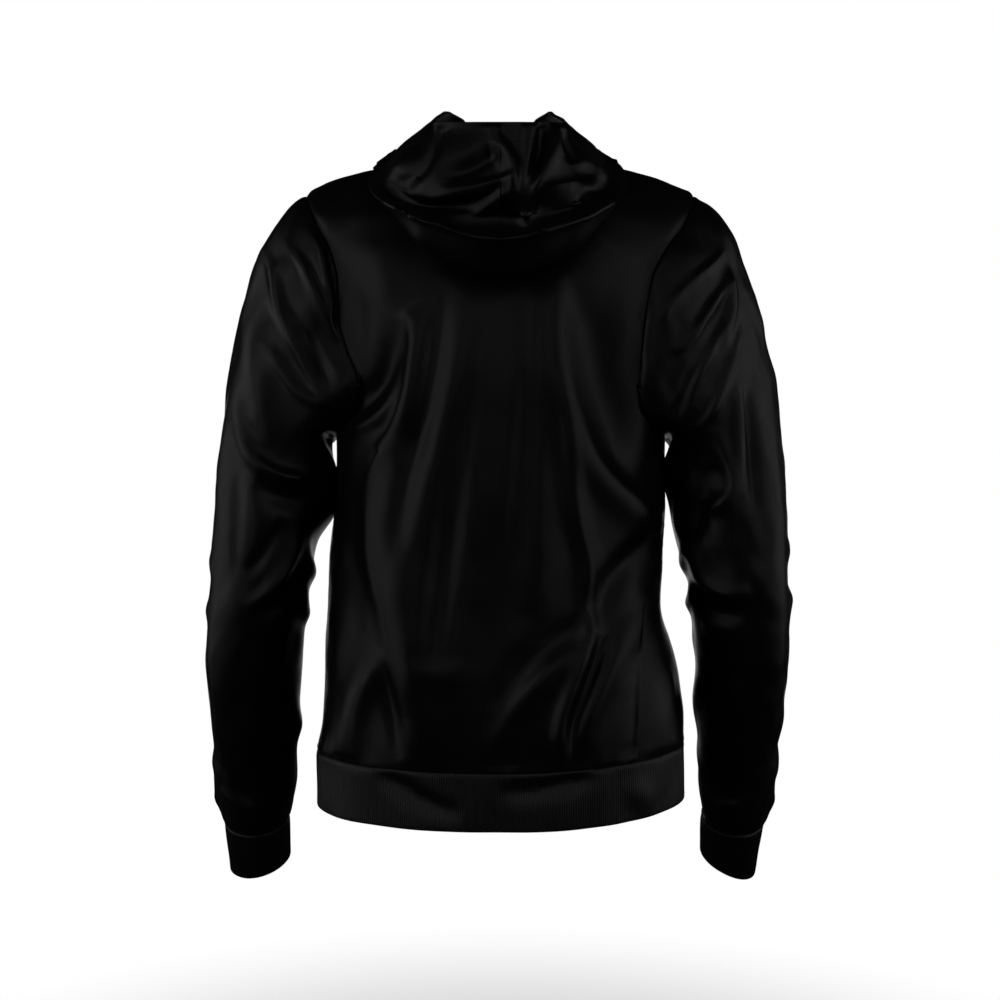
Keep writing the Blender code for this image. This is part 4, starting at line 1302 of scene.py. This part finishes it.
RIGHT_SLEEVE_FOLDS = (
    Creases(Facing.BACK, (
        # Many fine drag lines between the shoulder and the underarm.
        (4, 5, (228, -82, 0), (216, -97, 3), (190, -120, 4), (166, -144, 3), (156, -160, 0)),
        (4, 5, (236, -104, 0), (221, -128, 4), (200, -160, 5), (179, -186, 5), (160, -186, 0)),
        (4, 5, (232, -108, 0), (229, -130, 4), (226, -155, 5), (208, -187, 5), (192, -219, 5),
         (180, -242, 0)),
        (3.5, 4, (216, -128, 0), (208, -142, 3.5), (192, -166, 4), (174, -184, 0)),
        (5, 6, (242, -160, 0), (235, -182, 4), (221, -219, 5), (208, -251, 5), (194, -268, 0)),
        (5, 5, (226, -96, 0), (231, -118, 4), (233, -144, 5), (224, -176, 4), (210, -204, 0)),
        (6, 6, (198, -196, 0), (186, -224, -5), (174, -250, -5), (168, -276, 0)),
        # The straight crease down the outer side, light on both its flanks.
        (6, 7, (246, -205, 0), (248, -230, -5), (251, -283, -6), (253, -326, -5), (255, -352, 0)),
        (9, 8, (238, -200, 0), (238, -240, 4), (238, -290, 5), (240, -335, 0)),
        # The bend of the elbow.
        (8, 8, (216, -262, 0), (223, -290, 5), (230, -326, 6), (214, -342, 5), (196, -338, 0)),
        (12, 12, (212, -300, 0), (205, -320, -6), (196, -352, -7), (196, -380, 0)),
        (8, 8, (186, -378, 0), (195, -396, 5), (209, -421, 7), (232, -430, 6), (252, -424, 0)),
        (9, 9, (186, -410, 0), (202, -440, -6), (226, -452, -6), (248, -448, 0)),
        (20, 14, (270, -250, 0), (276, -330, 4), (280, -420, 5), (280, -520, 5), (280, -620, 3),
         (278, -665, 0)),
        (7, 7, (284, -628, 0), (268, -650, 4), (246, -660, 4), (232, -655, 0)),
    )),
    Creases(Facing.RIGHT, (
        (10, 10, (-28, -130, 0), (-14, -180, 2), (-4, -240, 2.5), (4, -300, 0)),
        (10, 10, (48, -320, 0), (24, -362, 3), (-12, -388, 3), (-38, -394, 0)),
        (9, 9, (54, -374, 0), (34, -412, 2.5), (2, -438, 3), (-26, -444, 0)),
        (10, 10, (90, -570, 0), (68, -602, 2.5), (42, -628, 2), (20, -634, 0)),
        (8, 8, (108, -626, 0), (88, -648, 2.5), (60, -664, 2), (46, -666, 0)),
    )),
    Creases(Facing.LEFT, (
        # The slack inside the elbow, shorter than the left one.
        (18, 18, (-44, -262, 0), (-30, -286, 8), (-12, -306, 8), (10, -322, 5), (30, -336, 0)),
        (9, 9, (-42, -372, 0), (-18, -394, 4), (8, -408, 4), (28, -414, 0)),
        (8, 8, (-34, -412, 0), (-8, -434, 4), (20, -448, 4), (40, -452, 0)),
        (12, 12, (0, -500, 0), (20, -536, 3), (48, -560, 3), (66, -566, 0)),
    )),
    Creases(Facing.FRONT, (
        (9, 8, (172, -104, 0), (188, -146, 5), (208, -192, 6), (232, -230, 0)),
        (9, 9, (166, -176, 0), (190, -216, 6), (218, -258, 6), (242, -280, 0)),
        (10, 10, (192, -326, 0), (218, -360, 6), (246, -382, 6), (270, -386, 0)),
        (10, 10, (200, -404, 0), (224, -430, 6), (250, -446, 5), (272, -446, 0)),
        (12, 12, (244, -480, 0), (250, -540, 4), (254, -600, 4), (254, -660, 0)),
    )),
)

HOOD_FOLDS = (
    Creases(Facing.BACK, (
        # The pinch at the middle, which gathers the left lobe, and the lobe's rolled lower edge.
        (10, 5, (-10, 40, 0), (-6, 20, 3), (-1, 0, 6), (5, -9, 8), (10, -18, 9), (13, -27, 9), (14, -40, 8),
         (16, -56, 7), (17, -72, 0)),
        (5, 9, (18, -32, 0), (8, -37, 4), (-9, -41, 6), (-28, -45, 6), (-47, -48, 6), (-68, -49, 6),
         (-84, -40, 4), (-94, -30, 0)),
        (9, 8, (-2, -6, 0), (-8, -14, -6), (-22, -23, -7), (-42, -31, -5), (-58, -34, 0)),
        # The dark crease beside the left lobe, and the lit fold beyond it.
        (8, 9, (-54, 30, 0), (-57, 18, -5), (-62, 3, -7), (-72, -15, -8), (-83, -30, -7), (-90, -40, 0)),
        (12, 10, (-82, 12, 0), (-92, -8, 5), (-99, -24, 7), (-108, -40, 4), (-112, -50, 0)),
        # Right of the pinch: a lit fold, a dark one and a lit one, all from one point.
        (7, 8, (28, 40, 0), (28, 16, 5), (27, -10, 7), (25, -35, 9), (21, -55, 10), (20, -68, 6),
         (19, -76, 0)),
        (5, 5, (16, -36, 0), (17, -48, -5), (17, -60, -6), (18, -74, 0)),
        (6, 6, (42, 30, 0), (40, 12, -6), (37, -9, -8), (30, -32, -8), (25, -50, -6), (22, -64, 0)),
        (7, 9, (56, 30, 0), (54, 12, 5), (50, -7, 8), (43, -26, 9), (33, -45, 10), (25, -62, 8),
         (20, -75, 0)),
        (4, 4, (58, 14, 0), (61, 4, -4), (67, -12, -4), (70, -22, 0)),
        (14, 12, (72, 16, 0), (78, 0, 5), (80, -16, 5), (72, -30, 0)),
        (11, 9, (112, -28, 0), (96, -34, -7), (78, -38, -9), (56, -44, -8), (38, -56, -6), (24, -68, 0)),
        # The long lip over the hollow that lies across the hood.
        (6, 6, (18, -74, 0), (24, -71, 3), (40, -64, 4), (58, -58, 4), (78, -55, 4), (92, -58, 0)),
        (6, 6, (18, -42, 0), (4, -48, 3), (-12, -60, 4), (-28, -68, 4), (-55, -66, 4), (-82, -62, 4),
         (-104, -53, 3), (-122, -44, 0)),
        (5, 5, (12, -40, 0), (-4, -47, -4), (-26, -57, -5), (-55, -58, -6), (-82, -53, -6), (-102, -44, -4),
         (-116, -36, 0)),
        (10, 10, (62, -68, 0), (38, -78, -5), (0, -84, -7), (-38, -78, -5), (-62, -68, 0)),
    ), least=-0.25, full=0.25),
)


# ---- Studio ----


@dataclass
class SoftBox:
    """One rectangular lamp that looks at the middle of the garment."""

    name: str
    azimuth: float
    distance: float
    rise: float
    width: float
    height: float
    radiance: float
    seen_in_gloss: bool = True
    aim: tuple = (0.0, 0.0, -0.33)

    def build(self) -> None:
        """Makes the lamp: its power is radiance * pi * area."""
        lamp = bpy.data.lights.new(self.name, "AREA")
        lamp.shape = "RECTANGLE"
        lamp.size, lamp.size_y = self.width, self.height
        lamp.energy = self.radiance * np.pi * self.width * self.height
        holder = bpy.data.objects.new(self.name, lamp)
        turn = self.azimuth * DEGREE
        place = np.array(self.aim) + self.distance * np.array([np.sin(turn), -np.cos(turn), 0.0])
        holder.location = (place[0], place[1], place[2] + self.rise)
        look = np.array(self.aim) - np.array(holder.location)
        yaw = np.arctan2(-look[0], look[1])
        pitch = np.arctan2(look[2], np.hypot(look[0], look[1]))
        holder.rotation_euler = (np.pi / 2 + pitch, 0.0, yaw)
        holder.visible_camera = False
        holder.visible_glossy = self.seen_in_gloss
        bpy.context.scene.collection.objects.link(holder)


def plain_mesh(name: str, points: list, faces: list, paint: bpy.types.Material) -> bpy.types.Object:
    """A mesh object of the set."""
    mesh = bpy.data.meshes.new(name)
    mesh.from_pydata(points, [], faces)
    mesh.materials.append(paint)
    made = bpy.data.objects.new(name, mesh)
    bpy.context.scene.collection.objects.link(made)
    return made


@dataclass
class Studio:
    """A pale floor, a white surround, soft boxes all round and the camera."""

    floor_height: float = -1.05
    floor_size: float = 60.0
    camera_distance: float = 1.5
    camera_height: float = -0.336
    view_width: float = 1.043
    surround: float = 0.2
    ceiling_height: float = 2.7
    shadow_reach: float = 0.95
    shadow_core: float = 0.4
    shadow_glow: float = 0.45
    floor_shade: float = 0.85
    flag_shade: float = 0.02
    tent_radius: float = 2.9
    tent_sides: int = 48
    table_left: float = -1.02
    table_right: float = 1.25
    table_half_length: float = 2.8
    table_step: float = -0.15
    table_height: float = -0.98
    #            azimuth rise width height radiance
    strips: tuple = ((0, 1.0, 1.8, 3.2, 1.35), (-57, 0.5, 0.8, 2.4, 5.6), (57, 0.5, 0.7, 2.4, 4.8),
                     (-100, 0.2, 1.2, 2.2, 2.1), (98, 0.2, 1.2, 2.2, 2.1), (180, -0.1, 2.2, 1.2, 1.0))
    strip_distance: float = 2.4
    fills: tuple = (30, 90, 150, 210, 270, 330)
    #            distance rise width height radiance
    fill: tuple = (2.3, 0.9, 1.0, 1.0, 1.6)

    def build(self) -> None:
        """Makes the whole set."""
        self._camera()
        self._floor()
        self._world()
        self._flags()
        for azimuth, rise, width, height, radiance in self.strips:
            SoftBox(f"strip_{azimuth % 360}", azimuth, self.strip_distance, rise, width, height,
                    radiance).build()
        for azimuth in self.fills:
            SoftBox(f"fill_{azimuth}", azimuth, *self.fill, seen_in_gloss=False).build()

    def _camera(self) -> None:
        """A level camera behind the garment; its lens spans view_width at the garment."""
        lens = bpy.data.cameras.new("camera")
        lens.sensor_width = 36.0
        lens.lens = lens.sensor_width * self.camera_distance / self.view_width
        camera = bpy.data.objects.new("camera", lens)
        camera.location = (0.0, -self.camera_distance, self.camera_height)
        camera.rotation_euler = (np.pi / 2, 0.0, 0.0)
        bpy.context.scene.collection.objects.link(camera)
        bpy.context.scene.camera = camera

    def _flags(self) -> None:
        """Black flags round, over and under the garment keep its shades deep. The camera sees past them."""
        paint = matt_paint("flag_black", self.flag_shade)
        turn = np.linspace(0, 2 * np.pi, self.tent_sides + 1)[:-1]
        circle = np.stack([np.cos(turn), np.sin(turn), 0 * turn], axis=-1)
        up = np.array([0.0, 0.0, 1.0])
        wall = np.concatenate([circle * self.tent_radius + up * self.floor_height,
                               circle * self.tent_radius + up * self.ceiling_height])
        wall_faces = ClothGrid(wall.reshape(2, -1, 3), tube=True).faces()
        index = tuple(range(len(turn)))
        left, right, far, level = self.table_left, self.table_right, self.table_half_length, self.table_height
        step = self.table_step
        outline = ((left, -far), (right, -far), (right, step), (far, step), (far, far), (-far, far),
                   (-far, step), (left, step))
        table = np.array([(x, y, level) for x, y in outline])
        shapes = {"flag_wall": (wall, wall_faces.tolist()),
                  "flag_ceiling": (circle * self.tent_radius + up * self.ceiling_height, [index]),
                  "flag_table": (table, [tuple(range(len(outline)))])}
        for name, (points, faces) in shapes.items():
            flag = plain_mesh(name, points.tolist(), faces, paint)
            flag.visible_camera = False
            flag.visible_shadow = False

    def _floor(self) -> None:
        """A broad white floor, matt."""
        size = self.floor_size / 2
        corners = [(-size, -size), (size, -size), (size, size), (-size, size)]
        paint = matt_paint("floor_white", self.floor_shade)
        tree = paint.node_tree
        place = add_node(tree, "TexCoord")
        flatten = {0: place.outputs["Object"], 1: (1.0, 1.0, 0.0)}
        level = add_node(tree, "VectorMath", flatten, operation="MULTIPLY")
        reach = add_node(tree, "VectorMath", {0: level.outputs["Vector"]}, operation="LENGTH")
        span = {"Value": reach.outputs["Value"], "From Min": self.shadow_reach * self.shadow_core,
                "From Max": self.shadow_reach, "To Min": self.shadow_glow}
        fade = add_node(tree, "MapRange", span, interpolation_type="SMOOTHSTEP")
        share = add_node(tree, "Math", {0: fade.outputs["Result"], 1: self._seen(tree)}, operation="MULTIPLY")
        glow = add_node(tree, "Emission")
        lit = tree.nodes["Principled BSDF"].outputs["BSDF"]
        mix = add_node(tree, "MixShader", {0: share.outputs["Value"], 1: lit, 2: glow.outputs["Emission"]})
        tree.links.new(mix.outputs["Shader"], tree.nodes["Material Output"].inputs["Surface"])
        floor = plain_mesh("floor", [(x, y, self.floor_height) for x, y in corners], [(0, 1, 2, 3)], paint)

    @staticmethod
    def _seen(tree: bpy.types.NodeTree) -> bpy.types.NodeSocket:
        """1 for what the camera, a gloss or a glass looks at, and 0 for light on its way to matt cloth."""
        path = add_node(tree, "LightPath")
        total = path.outputs["Is Camera Ray"]
        for ray in ("Is Glossy Ray", "Is Transmission Ray"):
            total = add_node(tree, "Math", {0: total, 1: path.outputs[ray]}, operation="MAXIMUM").outputs[0]
        return total

    def _world(self) -> None:
        """White where the camera, a gloss or glass looks at it, and dimmer as light on the garment."""
        world = bpy.data.worlds.new("surround")
        bpy.context.scene.world = world
        world.use_nodes = True
        tree = world.node_tree
        background = tree.nodes["Background"]
        background.inputs["Color"].default_value = (1.0, 1.0, 1.0, 1.0)
        strength = add_node(tree, "MapRange", {"To Min": self.surround, "To Max": 1.0,
                                               "Value": self._seen(tree)})
        tree.links.new(strength.outputs["Result"], background.inputs["Strength"])


# ---- The whole garment ----


def hem_loop(form: BodyForm, columns: int) -> Array:
    """The hem seam's line all round, from the back's left edge by its right edge and round the front."""
    halves = {}
    for behind in (True, False):
        for side in Side:
            halves[behind, side] = form.lower_half(side, behind, columns, 2)[0]
    back = np.concatenate([halves[True, Side.LEFT][:0:-1], halves[True, Side.RIGHT]])
    front = np.concatenate([halves[False, Side.LEFT][:0:-1], halves[False, Side.RIGHT]])
    return np.concatenate([back, front[-2:0:-1]])


def main() -> None:
    """Builds the studio and every piece."""
    logging.basicConfig(level=logging.INFO, format="%(message)s")
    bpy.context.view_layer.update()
    scene = bpy.context.scene
    scene.view_settings.view_transform = "Standard"
    Studio().build()
    form = BodyForm()
    knit = KnitFinish("body_knit").material()
    rib = KnitFinish("rib_knit", colour=(0.0007, 0.0007, 0.00073), pale=(0.0013, 0.0013, 0.00135),
                     roughness=0.38, specular=0.075).material()
    panels = [
        BodyPanel("back_cloth", True, form, knit, BACK_FOLDS, 38, 38, 110, 100, (0.48, 0.67), 0.26, 11),
        BodyPanel("front_cloth", False, form, knit, FRONT_FOLDS, 26, 30, 80, 70, (0.61, 0.69), 0.30, 23),
    ]
    loop = hem_loop(form, 90)
    drop = np.array([0.0, 0.0, form.hem - form.hem_seam])
    bands = [RibbedBand("waistband_rib", "waistband", rib, loop, loop + drop, (0.912, 0.056), WAISTBAND_FOLDS,
                        seed=5)]
    for side, folds, seed in ((Side.LEFT, LEFT_SLEEVE_FOLDS, 31), (Side.RIGHT, RIGHT_SLEEVE_FOLDS, 37)):
        arm = ArmForm(side)
        panels.append(Sleeve(arm, knit, folds, (0.40, 0.71), 0.22, seed))
        cuff = arm.cuff(256, 8)
        bands.append(RibbedBand(f"cuff_{side.word}_rib", f"cuff_{side.word}", rib, cuff[0], cuff[-1],
                                (0.21, 0.056), seed=seed + 3, pitch=2.0,
                                seam=Seam(depth=0.5, width=2.2, pucker=0.1, calm=5.0)))
        panels.append(HoodHalf(side, HoodForm(), knit, HOOD_FOLDS, (0.32, 0.38), 0.084, seed + 6))
    pieces = [maker.dress() for maker in (*panels, *bands)]
    thread = KnitFinish("thread", roughness=0.35, specular=0.05, knit_depth=0.00002).material()
    seams = [line for panel in panels for line in panel.lines]
    pieces.append(Stitches().build("seam_stitches", seams, thread))
    for piece in pieces:
        LOG.info("%s: %d faces", piece.name, len(piece.data.polygons))


if __name__ == "__main__":
    main()
